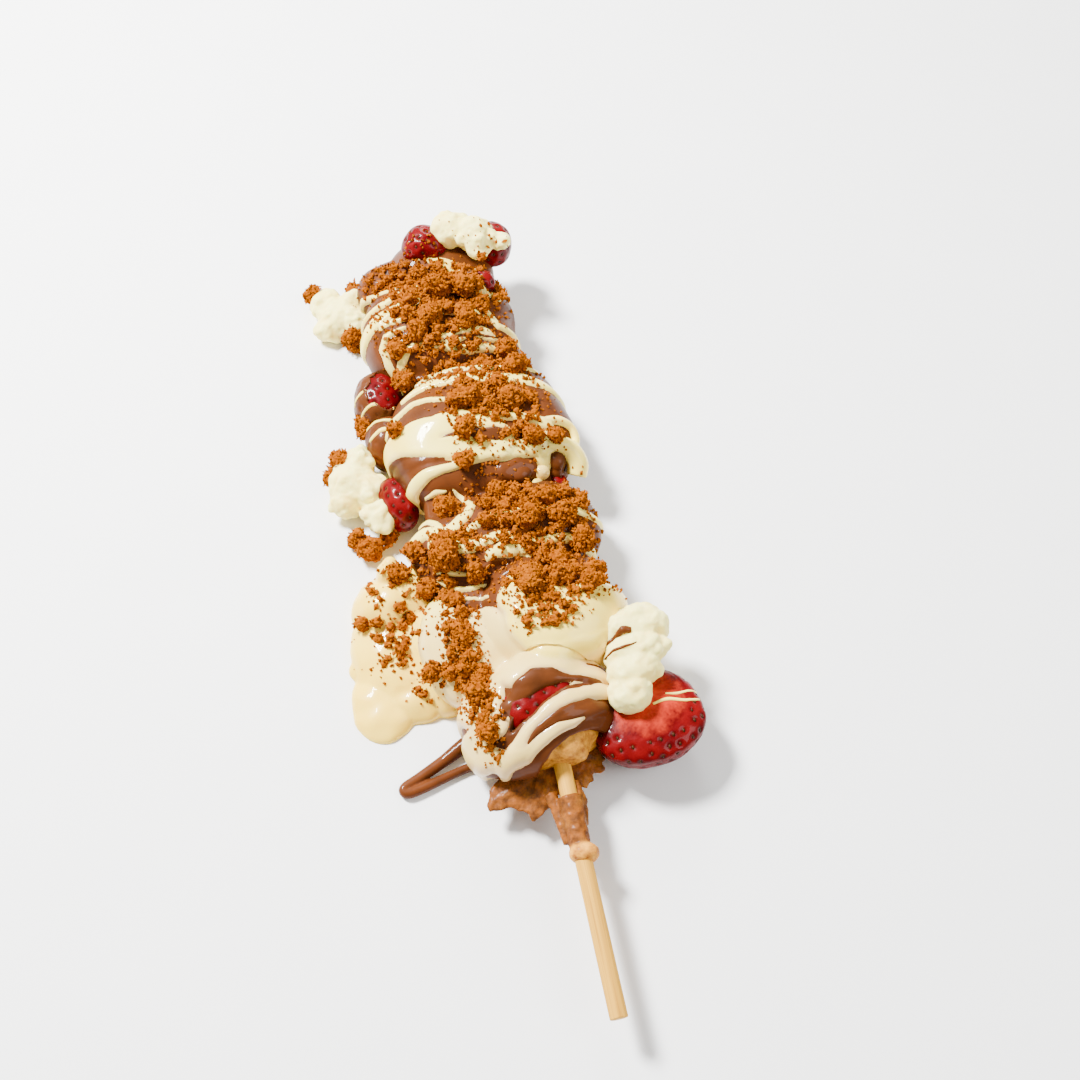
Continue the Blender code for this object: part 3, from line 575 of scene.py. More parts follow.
def linked(name, bm):
    """A bmesh written to a new object in the scene."""
    mesh = bpy.data.meshes.new(name)
    bm.to_mesh(mesh)
    bm.free()
    obj = bpy.data.objects.new(name, mesh)
    bpy.context.scene.collection.objects.link(obj)
    return obj


def baked(obj):
    """Apply the object's modifiers."""
    mesh = bpy.data.meshes.new_from_object(obj.evaluated_get(bpy.context.evaluated_depsgraph_get()))
    old = obj.data
    obj.modifiers.clear()
    obj.data = mesh
    bpy.data.meshes.remove(old)
    return obj


def merged(obj, voxel, smoothing):
    """Turn overlapping shapes into one closed, even skin."""
    remesh = obj.modifiers.new("Remesh", "REMESH")
    remesh.mode = "VOXEL"
    remesh.voxel_size = voxel
    smooth = obj.modifiers.new("Smooth", "SMOOTH")
    smooth.factor = 0.5
    smooth.iterations = smoothing
    return baked(obj)


def walled(obj, thickness, offset):
    """Give an open skin a wall."""
    wall = obj.modifiers.new("Solidify", "SOLIDIFY")
    wall.thickness = thickness
    wall.offset = offset
    return baked(obj)


def joined(name, objects):
    """Several objects as one, in the first one's place."""
    bm = bmesh.new()
    for obj in objects:
        bm.from_mesh(obj.data)
        mesh = obj.data
        bpy.data.objects.remove(obj, do_unlink=True)
        bpy.data.meshes.remove(mesh)
    return linked(name, bm)


def dressed(obj, nodes, recipe, smooth=True):
    """Set a finished piece on the table in the frame, with its body and material, and hide its CAD nodes."""
    places, _ = coordinates(obj.data)
    room = TALLEST - SQUEEZED
    over = np.maximum(places[:, 2] - SQUEEZED, 0.0)
    places[:, 2] = np.clip(places[:, 2], 0.0, SQUEEZED) + room * (1.0 - np.exp(-over / room))
    moved(obj, places)
    if smooth:
        obj.data.shade_smooth()
    obj.data.transform(TO_FRAME)
    obj.data.materials.append(finish(recipe))
    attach(obj, "root")
    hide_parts(*nodes)
    return obj


def flat_on_table(obj):
    """Cut away what is under the table and close the underside."""
    bm = bmesh.new()
    bm.from_mesh(obj.data)
    bmesh.ops.bisect_plane(
        bm,
        geom=bm.verts[:] + bm.edges[:] + bm.faces[:],
        dist=0.001,
        plane_co=(0.0, 0.0, 0.0),
        plane_no=(0.0, 0.0, -1.0),
        clear_outer=True,
    )
    bmesh.ops.holes_fill(bm, edges=[edge for edge in bm.edges if edge.is_boundary])
    bm.to_mesh(obj.data)
    bm.free()
    return obj


def add_rounded(bm, centre, half, roundness=2.0, turn=0.0, lean=0.0, detail=4):
    """Add a superellipsoid: 2 is an ellipsoid, more is boxier. Turn is about Z, lean about Y."""
    ball = bmesh.ops.create_icosphere(bm, subdivisions=detail, radius=1.0)
    place = Matrix.Rotation(math.radians(turn), 4, "Z") @ Matrix.Rotation(math.radians(lean), 4, "Y")
    for vert in ball["verts"]:
        total = sum(abs(value) ** roundness for value in vert.co)
        vert.co /= total ** (1.0 / roundness)
        local = Vector((vert.co.x * half[0], vert.co.y * half[1], vert.co.z * half[2]))
        vert.co = place @ local + Vector(centre)
    return ball["verts"]


def roughened(bm, verts, size, depth, seed):
    """Push vertices in and out with smooth noise of a given size."""
    bmesh.ops.recalc_face_normals(bm, faces=bm.faces)
    bm.normal_update()
    shift = Vector((seed * 17.3, seed * 5.1, seed * 9.7))
    for vert in verts:
        vert.co += vert.normal * noise.noise(vert.co / size + shift) * depth


def ring_edges(bm, ring):
    """The edges between a ring's own vertices."""
    own = set(ring)
    return [edge for edge in bm.edges if edge.verts[0] in own and edge.verts[1] in own]


def add_run(bm, run, sides=14):
    """Add a closed tube along centres with a radius at each: a run of something thick."""
    points = [Vector(centre) for centre, _ in run]
    rings = []
    for index, point in enumerate(points):
        along = (points[min(index + 1, len(points) - 1)] - points[max(index - 1, 0)]).normalized()
        turn = along.to_track_quat("Z", "Y").to_matrix().to_4x4()
        ring = bmesh.ops.create_circle(bm, cap_ends=False, segments=sides, radius=run[index][1])["verts"]
        bmesh.ops.transform(bm, matrix=Matrix.Translation(point) @ turn, verts=ring)
        rings.append(ring)
    rims = [ring_edges(bm, ring) for ring in rings]
    for first, second in zip(rims, rims[1:]):
        bmesh.ops.bridge_loops(bm, edges=first + second)
    for rim in (rims[0], rims[-1]):
        bmesh.ops.contextual_create(bm, geom=rim)
    bmesh.ops.recalc_face_normals(bm, faces=bm.faces)


def smooth_points(run, steps=6):
    """More points along a run, on a smooth curve through the given ones."""
    centres = [Vector(centre) for centre, _ in run]
    result = []
    for index in range(len(run) - 1):
        before = centres[max(index - 1, 0)]
        start = centres[index]
        end = centres[index + 1]
        after = centres[min(index + 2, len(run) - 1)]
        for step in range(steps):
            part = step / steps
            tangent_in = (end - before) * 0.5
            tangent_out = (after - start) * 0.5
            square = part * part
            cube = square * part
            point = start * (2 * cube - 3 * square + 1) + tangent_in * (cube - 2 * square + part)
            point += end * (3 * square - 2 * cube) + tangent_out * (cube - square)
            result.append((point, run[index][1] + (run[index + 1][1] - run[index][1]) * part))
    result.append((centres[-1], run[-1][1]))
    return result


def coordinates(mesh):
    """The mesh's vertex positions and normals as arrays."""
    count = len(mesh.vertices)
    places = np.empty(count * 3)
    mesh.vertices.foreach_get("co", places)
    normals = np.empty(count * 3)
    mesh.vertex_normals.foreach_get("vector", normals)
    return places.reshape(count, 3), normals.reshape(count, 3)


def moved(obj, places):
    """Set the mesh's vertex positions."""
    obj.data.vertices.foreach_set("co", places.ravel())
    obj.data.update()
    return obj


def noise_field(places, size, seed):
    """Smooth noise at each place, from -1 to 1, with features of a given size."""
    shift = Vector((seed * 13.7, seed * 7.9, seed * 3.1))
    return np.array([noise.noise(Vector(place) / size + shift) for place in places])


def skin_of(*names):
    """A search tree of finished pieces, in the maker's millimetres."""
    bm = bmesh.new()
    for name in names:
        bm.from_mesh(bpy.data.objects[name].data)
    bm.transform(FROM_FRAME)
    tree = BVHTree.FromBMesh(bm)
    bm.free()
    return tree


def drop_onto(tree, x, y):
    """The point and normal where something dropped at x, y comes to lie."""
    point, normal, _, _ = tree.ray_cast(Vector((x, y, 90.0)), Vector((0.0, 0.0, -1.0)))
    return point, normal


# ---------------------------------------------------------------- materials

# Settings of a Mix node for colours. Its factor, two colours and result are 0, 6, 7 and 2.
COLOURS = {"data_type": "RGBA"}
MADE = {}


def supply(tree, node, inputs):
    """Give a node's inputs their values, or link them to other nodes' results."""
    for key, value in inputs.items():
        if isinstance(value, bpy.types.NodeSocket):
            tree.links.new(value, node.inputs[key])
        else:
            node.inputs[key].default_value = value


def add_node(tree, kind, inputs, settings=None, result=0):
    """Add a node with its inputs and its own settings, and give one of its results."""
    node = tree.nodes.new("ShaderNode" + kind)
    for key, value in (settings or {}).items():
        setattr(node, key, value)
    supply(tree, node, inputs)
    return node.outputs[result]


def milk_chocolate(tree, pattern):
    """Milk chocolate, poured and set: satin, with a soft sheen where it is smooth, and faint bloom."""
    # Bloom in patches of 11 mm, sheen in patches of 4 mm, ripples 1.4 mm apart.
    bloom = add_node(tree, "TexNoise", {**pattern, "Scale": 90.0})
    bloom = add_node(tree, "MapRange", {"Value": bloom, "From Min": 0.25, "From Max": 0.6})
    sheen = add_node(tree, "TexNoise", {**pattern, "Scale": 260.0})
    ripple = add_node(tree, "TexNoise", {**pattern, "Scale": 700.0, "Detail": 4.0})
    return {
        "Base Color": add_node(tree, "Mix", {0: bloom, 6: paint("milk_deep"), 7: paint("milk")}, COLOURS, 2),
        "Roughness": add_node(tree, "MapRange", {"Value": sheen, "To Min": 0.36, "To Max": 0.56}),
        "IOR": 1.45,
        "Specular IOR Level": 0.06,
        "Coat Weight": 0.14,
        "Coat Roughness": 0.05,
        "Normal": add_node(tree, "Bump", {"Height": ripple, "Strength": 0.12, "Distance": 0.0004}),
    }


def white_chocolate(tree, pattern):
    """White chocolate sauce, still fluid: glossy, creamy, and a little translucent at its edges."""
    # Cloudy patches of 14 mm, sheen in patches of 7 mm, ripples 3 mm apart.
    cloud = add_node(tree, "TexNoise", {**pattern, "Scale": 70.0})
    cloud = add_node(tree, "MapRange", {"Value": cloud, "From Min": 0.18, "From Max": 0.5})
    tone = add_node(tree, "Mix", {0: cloud, 6: paint("white_deep"), 7: paint("white")}, COLOURS, 2)
    # The thin colour goes on thin stroke edges, where brown shows through, and as painted shade over the
    # near end.
    for part, colour_name in (("thick", "white_deep"), ("thin", "white_thin")):
        share = add_node(tree, "Attribute", {}, {"attribute_name": part}, "Fac")
        tone = add_node(tree, "Mix", {0: share, 6: tone, 7: paint(colour_name)}, COLOURS, 2)
    sheen = add_node(tree, "TexNoise", {**pattern, "Scale": 140.0})
    ripple = add_node(tree, "TexNoise", {**pattern, "Scale": 320.0})
    return {
        "Base Color": tone,
        "Roughness": add_node(tree, "MapRange", {"Value": sheen, "To Min": 0.22, "To Max": 0.42}),
        "IOR": 1.45,
        "Specular IOR Level": 0.15,
        "Coat Weight": 0.4,
        "Coat Roughness": 0.05,
        "Subsurface Weight": 0.3,
        "Subsurface Radius": (1.0, 0.75, 0.45),
        "Subsurface Scale": 0.0014,
        "Normal": add_node(tree, "Bump", {"Height": ripple, "Strength": 0.08, "Distance": 0.0005}),
    }


def caramel_biscuit_crumb(tree, pattern):
    """Caramelised biscuit, crushed: dry, porous and sugary, each grain with its own brown, with painted
    shade in the gaps between grains and painted light on their tops.
    """
    # The shade attribute holds painted shade in the gaps between grains and painted light on grain tops, as
    # well as each grain's own tone: low values go to the darkest crumb colour, high ones to the lightest.
    shade = add_node(tree, "Attribute", {}, {"attribute_name": "shade"}, "Fac")
    low = add_node(tree, "MapRange", {"Value": shade, "From Min": 0.08, "From Max": 0.5})
    high = add_node(tree, "MapRange", {"Value": shade, "To Min": -1.2, "To Max": 1.2})
    tone = add_node(tree, "Mix", {0: low, 6: paint("crumb_dark"), 7: paint("crumb")}, COLOURS, 2)
    tone = add_node(tree, "Mix", {0: high, 6: tone, 7: paint("crumb_light")}, COLOURS, 2)
    # Sugar and pores half a millimetre across.
    speck = add_node(tree, "TexNoise", {**pattern, "Scale": 1900.0, "Detail": 4.0, "Roughness": 0.7})
    sugar = add_node(tree, "MapRange", {"Value": speck, "To Min": -0.6, "To Max": 0.9})
    return {
        "Base Color": add_node(tree, "Mix", {0: sugar, 6: tone, 7: paint("crumb_light")}, COLOURS, 2),
        "Roughness": add_node(tree, "MapRange", {"Value": speck, "To Min": 0.9, "To Max": 0.6}),
        "IOR": 1.45,
        "Specular IOR Level": 0.01,
        "Normal": add_node(tree, "Bump", {"Height": speck, "Strength": 0.7, "Distance": 0.0004}),
    }


def strawberry_skin(tree, pattern):
    """Ripe strawberry: wet red skin with painted shade in the seed pits, and paler, streaked flesh where it
    is cut.
    """
    parts = ("pit", "fibre", "flesh")
    pit, fibre, flesh = [
        add_node(tree, "Attribute", {}, {"attribute_name": part}, "Fac") for part in parts
    ]
    # Brighter patches of 8 mm, fine bumps 0.7 mm apart.
    bloom = add_node(tree, "TexNoise", {**pattern, "Scale": 130.0})
    bloom = add_node(tree, "MapRange", {"Value": bloom, "From Min": 0.35, "From Max": 0.75})
    # Painted shade in the seed pits: where the pit attribute is high, the skin darkens to a fifth of the
    # berry colour.
    pit = add_node(tree, "MapRange", {"Value": pit, "To Max": 0.8})
    skin = add_node(tree, "Mix", {0: bloom, 6: paint("berry"), 7: paint("berry_bright")}, COLOURS, 2)
    skin = add_node(tree, "Mix", {0: pit, 6: skin, 7: paint("berry", 0.2)}, COLOURS, 2)
    cut = add_node(tree, "Mix", {0: fibre, 6: paint("berry"), 7: paint("berry_flesh")}, COLOURS, 2)
    grain = add_node(tree, "TexNoise", {**pattern, "Scale": 1400.0})
    return {
        "Base Color": add_node(tree, "Mix", {0: flesh, 6: skin, 7: cut}, COLOURS, 2),
        "Roughness": 0.36,
        "IOR": 1.4,
        "Specular IOR Level": 0.06,
        "Coat Weight": 0.16,
        "Coat Roughness": 0.06,
        "Subsurface Weight": 0.12,
        "Subsurface Radius": (1.0, 0.2, 0.12),
        "Subsurface Scale": 0.0016,
        "Normal": add_node(tree, "Bump", {"Height": grain, "Strength": 0.25, "Distance": 0.0003}),
    }


def strawberry_seed(tree, pattern):
    """Strawberry seeds: small, hard, straw-brown and slightly shiny."""
    # Patches of 1 mm, so that each seed has its own brown.
    patch = add_node(tree, "TexNoise", {**pattern, "Scale": 900.0})
    patch = add_node(tree, "MapRange", {"Value": patch, "From Min": 0.35, "From Max": 0.65})
    tone = add_node(tree, "Mix", {0: patch, 6: paint("seed", 0.55), 7: paint("seed")}, COLOURS, 2)
    return {
        "Base Color": tone,
        "Roughness": 0.45,
        "IOR": 1.45,
        "Specular IOR Level": 0.1,
    }


def whipped_cream(tree, pattern):
    """Whipped cream: soft, matt, slightly grainy, lit through at its thin parts."""
    # Yellower patches of 6 mm, grain 1.3 mm apart.
    patch = add_node(tree, "TexNoise", {**pattern, "Scale": 160.0})
    patch = add_node(tree, "MapRange", {"Value": patch, "From Min": 0.25, "From Max": 0.55})
    grain = add_node(tree, "TexNoise", {**pattern, "Scale": 750.0, "Detail": 4.0})
    tone = add_node(tree, "Mix", {0: patch, 6: paint("cream_deep"), 7: paint("cream")}, COLOURS, 2)
    return {
        "Base Color": tone,
        "Roughness": 0.5,
        "IOR": 1.4,
        "Specular IOR Level": 0.12,
        "Coat Weight": 0.06,
        "Coat Roughness": 0.2,
        "Subsurface Weight": 0.45,
        "Subsurface Radius": (1.0, 0.8, 0.55),
        "Subsurface Scale": 0.0022,
        "Normal": add_node(tree, "Bump", {"Height": grain, "Strength": 0.3, "Distance": 0.0005}),
    }


def fried_batter(tree, pattern):
    """Fried batter: golden where it is thin and pale, brown and pitted where it is thick."""
    # Browning in specks of 2.4 mm, pits 1 mm apart.
    speck = add_node(tree, "TexNoise", {**pattern, "Scale": 420.0, "Detail": 5.0, "Roughness": 0.65})
    pale = add_node(tree, "MapRange", {"Value": speck, "From Min": 0.3, "From Max": 0.6})
    dark = add_node(tree, "MapRange", {"Value": speck, "From Min": 0.35, "From Max": 0.7})
    golden = add_node(tree, "Mix", {0: pale, 6: paint("crust"), 7: paint("crust_light")}, COLOURS, 2)
    brown = add_node(tree, "Mix", {0: dark, 6: paint("crust_dark"), 7: paint("crust")}, COLOURS, 2)
    bake = add_node(tree, "Attribute", {}, {"attribute_name": "bake"}, "Fac")
    pits = add_node(tree, "TexNoise", {**pattern, "Scale": 950.0, "Detail": 5.0, "Roughness": 0.7})
    return {
        "Base Color": add_node(tree, "Mix", {0: bake, 6: golden, 7: brown}, COLOURS, 2),
        "Roughness": add_node(tree, "MapRange", {"Value": speck, "To Min": 0.68, "To Max": 0.42}),
        "IOR": 1.45,
        "Specular IOR Level": 0.1,
        "Coat Weight": 0.06,
        "Coat Roughness": 0.2,
        "Subsurface Weight": 0.12,
        "Subsurface Radius": (1.0, 0.45, 0.2),
        "Subsurface Scale": 0.0012,
        "Normal": add_node(tree, "Bump", {"Height": pits, "Strength": 0.5, "Distance": 0.0006}),
    }


def plain_wood(tree, pattern):
    """Bamboo or birch, turned and unvarnished: pale, with fine lengthwise fibres."""
    place = pattern["Vector"]
    # Fibres 0.4 mm across and 25 mm long, veins 1.4 mm across and 45 mm long.
    fine = add_node(tree, "Mapping", {"Vector": place, "Scale": (2500.0, 40.0, 2500.0)})
    broad = add_node(tree, "Mapping", {"Vector": place, "Scale": (700.0, 22.0, 700.0)})
    fibre = add_node(tree, "TexNoise", {"Vector": fine, "Scale": 1.0, "Detail": 4.0, "Roughness": 0.6})
    vein = add_node(tree, "TexNoise", {"Vector": broad, "Scale": 1.0, "Detail": 3.0, "Roughness": 0.5})
    pale = add_node(tree, "MapRange", {"Value": fibre, "From Min": 0.28, "From Max": 0.5})
    dark = add_node(tree, "MapRange", {"Value": vein, "To Min": -0.6, "To Max": 1.0})
    tone = add_node(tree, "Mix", {0: pale, 6: paint("wood_dark"), 7: paint("wood")}, COLOURS, 2)
    return {
        "Base Color": add_node(tree, "Mix", {0: dark, 6: tone, 7: paint("wood_dark")}, COLOURS, 2),
        "Roughness": 0.6,
        "IOR": 1.5,
        "Specular IOR Level": 0.08,
        "Normal": add_node(tree, "Bump", {"Height": fibre, "Strength": 0.25, "Distance": 0.0003}),
    }


def plain_floor(tree, pattern):
    """A plain matt sheet under the food, all but even in tone."""
    patch = add_node(tree, "TexNoise", {**pattern, "Scale": 25.0})
    patch = add_node(tree, "MapRange", {"Value": patch, "From Min": 0.35, "From Max": 0.65})
    tone = add_node(tree, "Mix", {0: patch, 6: paint("floor", 0.985), 7: paint("floor")}, COLOURS, 2)
    return {
        "Base Color": tone,
        "Roughness": 0.75,
    }


def finish(recipe):
    """The material that a recipe gives the shader's inputs for, named after it and made once."""
    name = recipe.__name__
    if name not in MADE:
        material = bpy.data.materials.new(name)
        material.use_nodes = True
        tree = material.node_tree
        place = add_node(tree, "TexCoord", {}, result="Object")
        pattern = {"Vector": place, "Detail": 3.0, "Roughness": 0.55}
        supply(tree, tree.nodes["Principled BSDF"], recipe(tree, pattern))
        MADE[name] = material
    return MADE[name]


CHOCOLATES = {"milk_chocolate": milk_chocolate, "white_chocolate": white_chocolate}


# ---------------------------------------------------------------- stick and waffle


def make_stick():
    """A round stick with square, slightly eased ends."""
    bm = bmesh.new()
    radius = (STICK_HIGH[0] - STICK_LOW[0]) / MM / 2.0
    depth = (STICK_HIGH[1] - STICK_LOW[1]) / MM
    bmesh.ops.create_cone(bm, cap_ends=True, segments=48, radius1=radius, radius2=radius, depth=depth)
    rims = [edge for edge in bm.edges if abs(edge.calc_face_angle(0.0) - math.pi / 2.0) < 0.1]
    bmesh.ops.bevel(bm, geom=rims, offset=0.3, segments=2, profile=0.5, affect="EDGES", material=-1)
    middle = depth / 2.0 - STICK_OUT
    place = Matrix.Translation((0.0, middle, STICK_HEIGHT)) @ Matrix.Rotation(math.pi / 2.0, 4, "X")
    bmesh.ops.transform(bm, matrix=place, verts=bm.verts)
    obj = linked("wooden_stick", bm)
    obj.data.shade_smooth()
    obj.data.set_sharp_from_angle(angle=math.radians(40.0))
    return dressed(obj, ["stick"], plain_wood, smooth=False)


def add_body(bm, extra):
    """Add the waffle's lobes and core, each larger by an even amount."""
    grow = Vector((extra, extra, extra))
    for index, (centre, half, turn) in enumerate(LOBES):
        verts = add_rounded(bm, centre, Vector(half) + grow, LOBE_ROUNDNESS, turn, detail=5)
        roughened(bm, verts, 14.0, 1.6, index + 1)
    centre, half, roundness = CORE
    add_rounded(bm, centre, Vector(half) + grow, roundness, detail=5)


def make_waffle():
    """The waffle's own body, seen underneath, under the glaze's edge and round the stick."""
    bm = bmesh.new()
    add_body(bm, 0.0)
    verts = add_rounded(bm, (2.2, 4.6, 15.2), (7.6, 7.4, 8.2), 2.2)
    roughened(bm, verts, 6.0, 1.0, 9)
    body = merged(linked("waffle_body", bm), 0.9, 2)
    places, normals = coordinates(body.data)
    pits = noise_field(places, 2.6, 3) * 0.35 + noise_field(places, 1.2, 5) * 0.18
    moved(body, places + normals * pits[:, None])
    flat_on_table(body)
    places, _ = coordinates(body.data)
    knob = np.linalg.norm((places - (3.0, 2.0, 16.0)) / (10.0, 10.0, 10.0), axis=1)
    store(body, "bake", np.clip((knob - 0.75) * 1.6 + noise_field(places, 9.0, 4) * 0.35, 0.0, 1.0))
    return dressed(body, ["waffle"], fried_batter)


def store(obj, name, values):
    """Store a number for every vertex of the mesh."""
    layer = obj.data.attributes.new(name, "FLOAT", "POINT")
    layer.data.foreach_set("value", np.asarray(values, dtype=np.float32))


def overflow_reach(angle):
    """How far the ragged sheet reaches from the stick's entry, by direction in degrees."""
    lobes = [
        reach * math.exp(-(((angle - towards) / width) ** 2)) for reach, towards, width in OVERFLOW_LOBES
    ]
    ragged = 0.9 * math.sin(math.radians(angle * 11.0)) + 0.6 * math.sin(math.radians(angle * 23.0))
    ragged += 0.5 * noise.noise(Vector((angle * 0.35, 1.0, 2.0)))
    return max(4.5, lobes[0] + lobes[1], lobes[2] + lobes[3]) + ragged


def overflow_sheet():
    """The thin sheet of batter, which sags and wavers away from the stick's entry."""
    entry = Vector((-1.0, 2.0, 11.0))
    bm = bmesh.new()
    bmesh.ops.create_grid(bm, x_segments=11, y_segments=150, size=1.0)
    for vert in bm.verts:
        part = 0.6 + 0.4 * vert.co.x
        angle = -85.0 + 105.0 * vert.co.y
        reach = overflow_reach(angle)
        direction = Vector((math.cos(math.radians(angle)), math.sin(math.radians(angle)), 0.0))
        point = entry + direction * reach * part
        point.z -= 2.6 * part * part * reach / 20.0
        point.z += 0.55 * noise.noise(point / 4.0) + 0.25 * noise.noise(point / 1.7)
        vert.co = point
    bmesh.ops.recalc_face_normals(bm, faces=bm.faces)
    return walled(linked("overflow", bm), 1.7, 0.0)


def make_overflow():
    """The batter that overflowed round the stick: thin, ragged, well browned, with a sleeve and a bead."""
    bm = bmesh.new()
    sleeve = [((0.0, y, STICK_HEIGHT), radius) for y, radius in ((-11.5, 3.7), (-19.0, 3.35), (-27.0, 2.95))]
    add_run(bm, sleeve, 24)
    for run in OVERFLOW_RIDGES:
        add_run(bm, run)
    add_rounded(bm, (0.6, -28.0, 13.0), (4.3, 2.9, 4.2), 2.2, turn=-8.0)
    overflow = merged(joined("batter_overflow", [overflow_sheet(), linked("sleeve", bm)]), 0.45, 1)
    places, normals = coordinates(overflow.data)
    pits = noise_field(places, 1.6, 7) * 0.3 + noise_field(places, 0.8, 8) * 0.14
    calm = np.where(places[:, 1] < -25.6, 0.35, 1.0)
    moved(overflow, places + normals * (pits * calm)[:, None])
    bake = 1.0 + noise_field(places, 5.0, 9) * 0.35
    bead = np.clip(-places[:, 1] - 25.2, 0.0, 1.0)
    store(overflow, "bake", np.clip(bake * (1.0 - bead), 0.0, 1.0))
    return dressed(overflow, ["waffle"], fried_batter)


# ---------------------------------------------------------------- the two chocolates


def glazed_skin():
    """The glaze's even skin over the lobes, before the pours are laid on it."""
    bm = bmesh.new()
    add_body(bm, millimetres("glaze_depth"))
    for centre, half, roundness, turn in GLAZE_HUMPS:
        add_rounded(bm, centre, half, roundness, turn)
    return merged(linked("skin", bm), millimetres("glaze_grain"), 3)


def softened(skin, times):
    """Smooth the near end, where the sauce lies thick over the folds."""
    places, _ = coordinates(skin.data)
    _, y, z = places.T
    near = eased(-y, -42.0, -32.0) * eased(y, 15.0, 21.0) * eased(z, 8.0, 14.0)
    group = skin.vertex_groups.new(name="soft")
    for index in np.flatnonzero(near > 0.01):
        group.add([int(index)], float(near[index]), "REPLACE")
    smooth = skin.modifiers.new("Smooth", "SMOOTH")
    smooth.factor = 0.8
    smooth.iterations = times
    smooth.vertex_group = "soft"
    return baked(skin)


def stroke_depth(flat, points):
    """How far inside a stroke each place is, negative outside it."""
    deepest = np.full(len(flat), -99.0)
    for (ax, ay, ar), (bx, by, br) in zip(points, points[1:]):
        start = np.array((ax, ay))
        run = np.array((bx - ax, by - ay))
        part = np.clip((flat - start) @ run / (run @ run), 0.0, 1.0)
        away = np.linalg.norm(flat - start - part[:, None] * run, axis=1)
        deepest = np.maximum(deepest, ar + (br - ar) * part - away)
    return deepest


def warped(places):
    """Places in plan, pushed about a little so that no edge is a ruled line."""
    flat = places[:, :2].copy()
    flat[:, 1] += noise_field(places, 11.0, 21) * 1.0 + noise_field(places, 4.0, 22) * 0.35
    flat[:, 0] += noise_field(places, 9.0, 23) * 0.8
    return flat


def poured(flat):
    """The height of the pours, and which is on top: above 0 is white, below 0 is milk chocolate."""
    level = np.zeros(len(flat))
    front = np.full(len(flat), -2.0)
    for kind, thickness, points in POURS:
        depth = stroke_depth(flat, points)
        widest = max(radius for _, _, radius in points)
        part = np.clip(depth / min(widest, max(2.6, thickness * 1.8)), 0.0, 1.0)
        relief = thickness * np.sqrt(1.0 - (1.0 - part) ** 2)
        level = np.maximum(level, relief) + 0.35 * np.minimum(level, relief)
        if kind == "white":
            front = np.maximum(front, depth)
        else:
            front = np.minimum(front, -depth)
    return level, front


def bareness(places):
    """How far below the hem or inside the bare end each place is, negative where glaze covers."""
    x, y, z = places.T
    wave = np.sin(y * 0.23) + 0.6 * np.sin(y * 0.61 + x * 0.05)
    bare = millimetres("hem_height") + millimetres("hem_wave") * wave - z
    for centre, half, turn in BARE_END:
        angle = math.radians(-turn)
        across = (x - centre[0]) * math.cos(angle) - (y - centre[1]) * math.sin(angle)
        along = (x - centre[0]) * math.sin(angle) + (y - centre[1]) * math.cos(angle)
        reach = np.sqrt((across / half[0]) ** 2 + (along / half[1]) ** 2 + ((z - centre[2]) / half[2]) ** 2)
        bare = np.maximum(bare, (1.0 - reach) * min(half))
    return bare + noise_field(places, 3.0, 31) * 0.35


def eased(values, low, high):
    """0 below low, 1 above high, smooth between."""
    part = np.clip((values - low) / (high - low), 0.0, 1.0)
    return part * part * (3.0 - 2.0 * part)


def make_chocolates():
    """The milk chocolate glaze, and the white chocolate poured over it."""
    skin = softened(glazed_skin(), 24)
    places, normals = coordinates(skin.data)
    flat = warped(places)
    level, front = poured(flat)
    level = level + noise_field(places, 7.0, 25) * 0.25
    slit = np.maximum.reduce([stroke_depth(flat, points) for points in FRUIT_SLITS])
    slit = np.where(places[:, 2] > 12.0, slit, -9.0)
    covered = 1.0 - eased(bareness(places), -0.9, 0.5)
    sunk = -(millimetres("glaze_depth") + 1.0) * (1.0 - covered) - eased(slit, -0.3, 0.9) * 4.0
    milk = level + np.clip(-front * 0.9, -0.6, 0.2)
    white = level + np.clip(front * 0.9, -0.6, 0.28)

    glaze = bpy.data.objects.new("milk_chocolate_glaze", skin.data.copy())
    bpy.context.scene.collection.objects.link(glaze)
    glaze_places = places + normals * (milk * covered + sunk)[:, None]
    glaze_places[:, 2] = np.maximum(glaze_places[:, 2], 0.3)
    moved(glaze, glaze_places)
    dressed(glaze, ["chocolate_coat"], milk_chocolate)

    moved(skin, places + normals * (white * covered + sunk)[:, None])
    shown = np.where((covered < 0.3) | (slit > 0.6), -9.0, front)
    pour = joined("white_chocolate_pour", [peeled(skin, shown), hanging_runs()])
    shaded_pour(pour)
    return dressed(pour, ["chocolate_coat"], white_chocolate)


def peeled(skin, shown):
    """Only the part of a skin that is shown above -0.9, with a wall behind it."""
    bm = bmesh.new()
    bm.from_mesh(skin.data)
    unseen = [face for face in bm.faces if max(shown[vert.index] for vert in face.verts) < -0.9]
    bmesh.ops.delete(bm, geom=unseen, context="FACES")
    bm.to_mesh(skin.data)
    bm.free()
    return walled(skin, 0.45, -1.0)


def hanging_runs():
    """The runs and drops of white chocolate off the right side, as one skin."""
    bm = bmesh.new()
    for run in LOOP_RUNS:
        add_run(bm, smooth_points(run), 18)
    for centre, half in LOOP_DROPS:
        add_rounded(bm, centre, half, detail=3)
    return merged(linked("loop", bm), 0.5, 4)


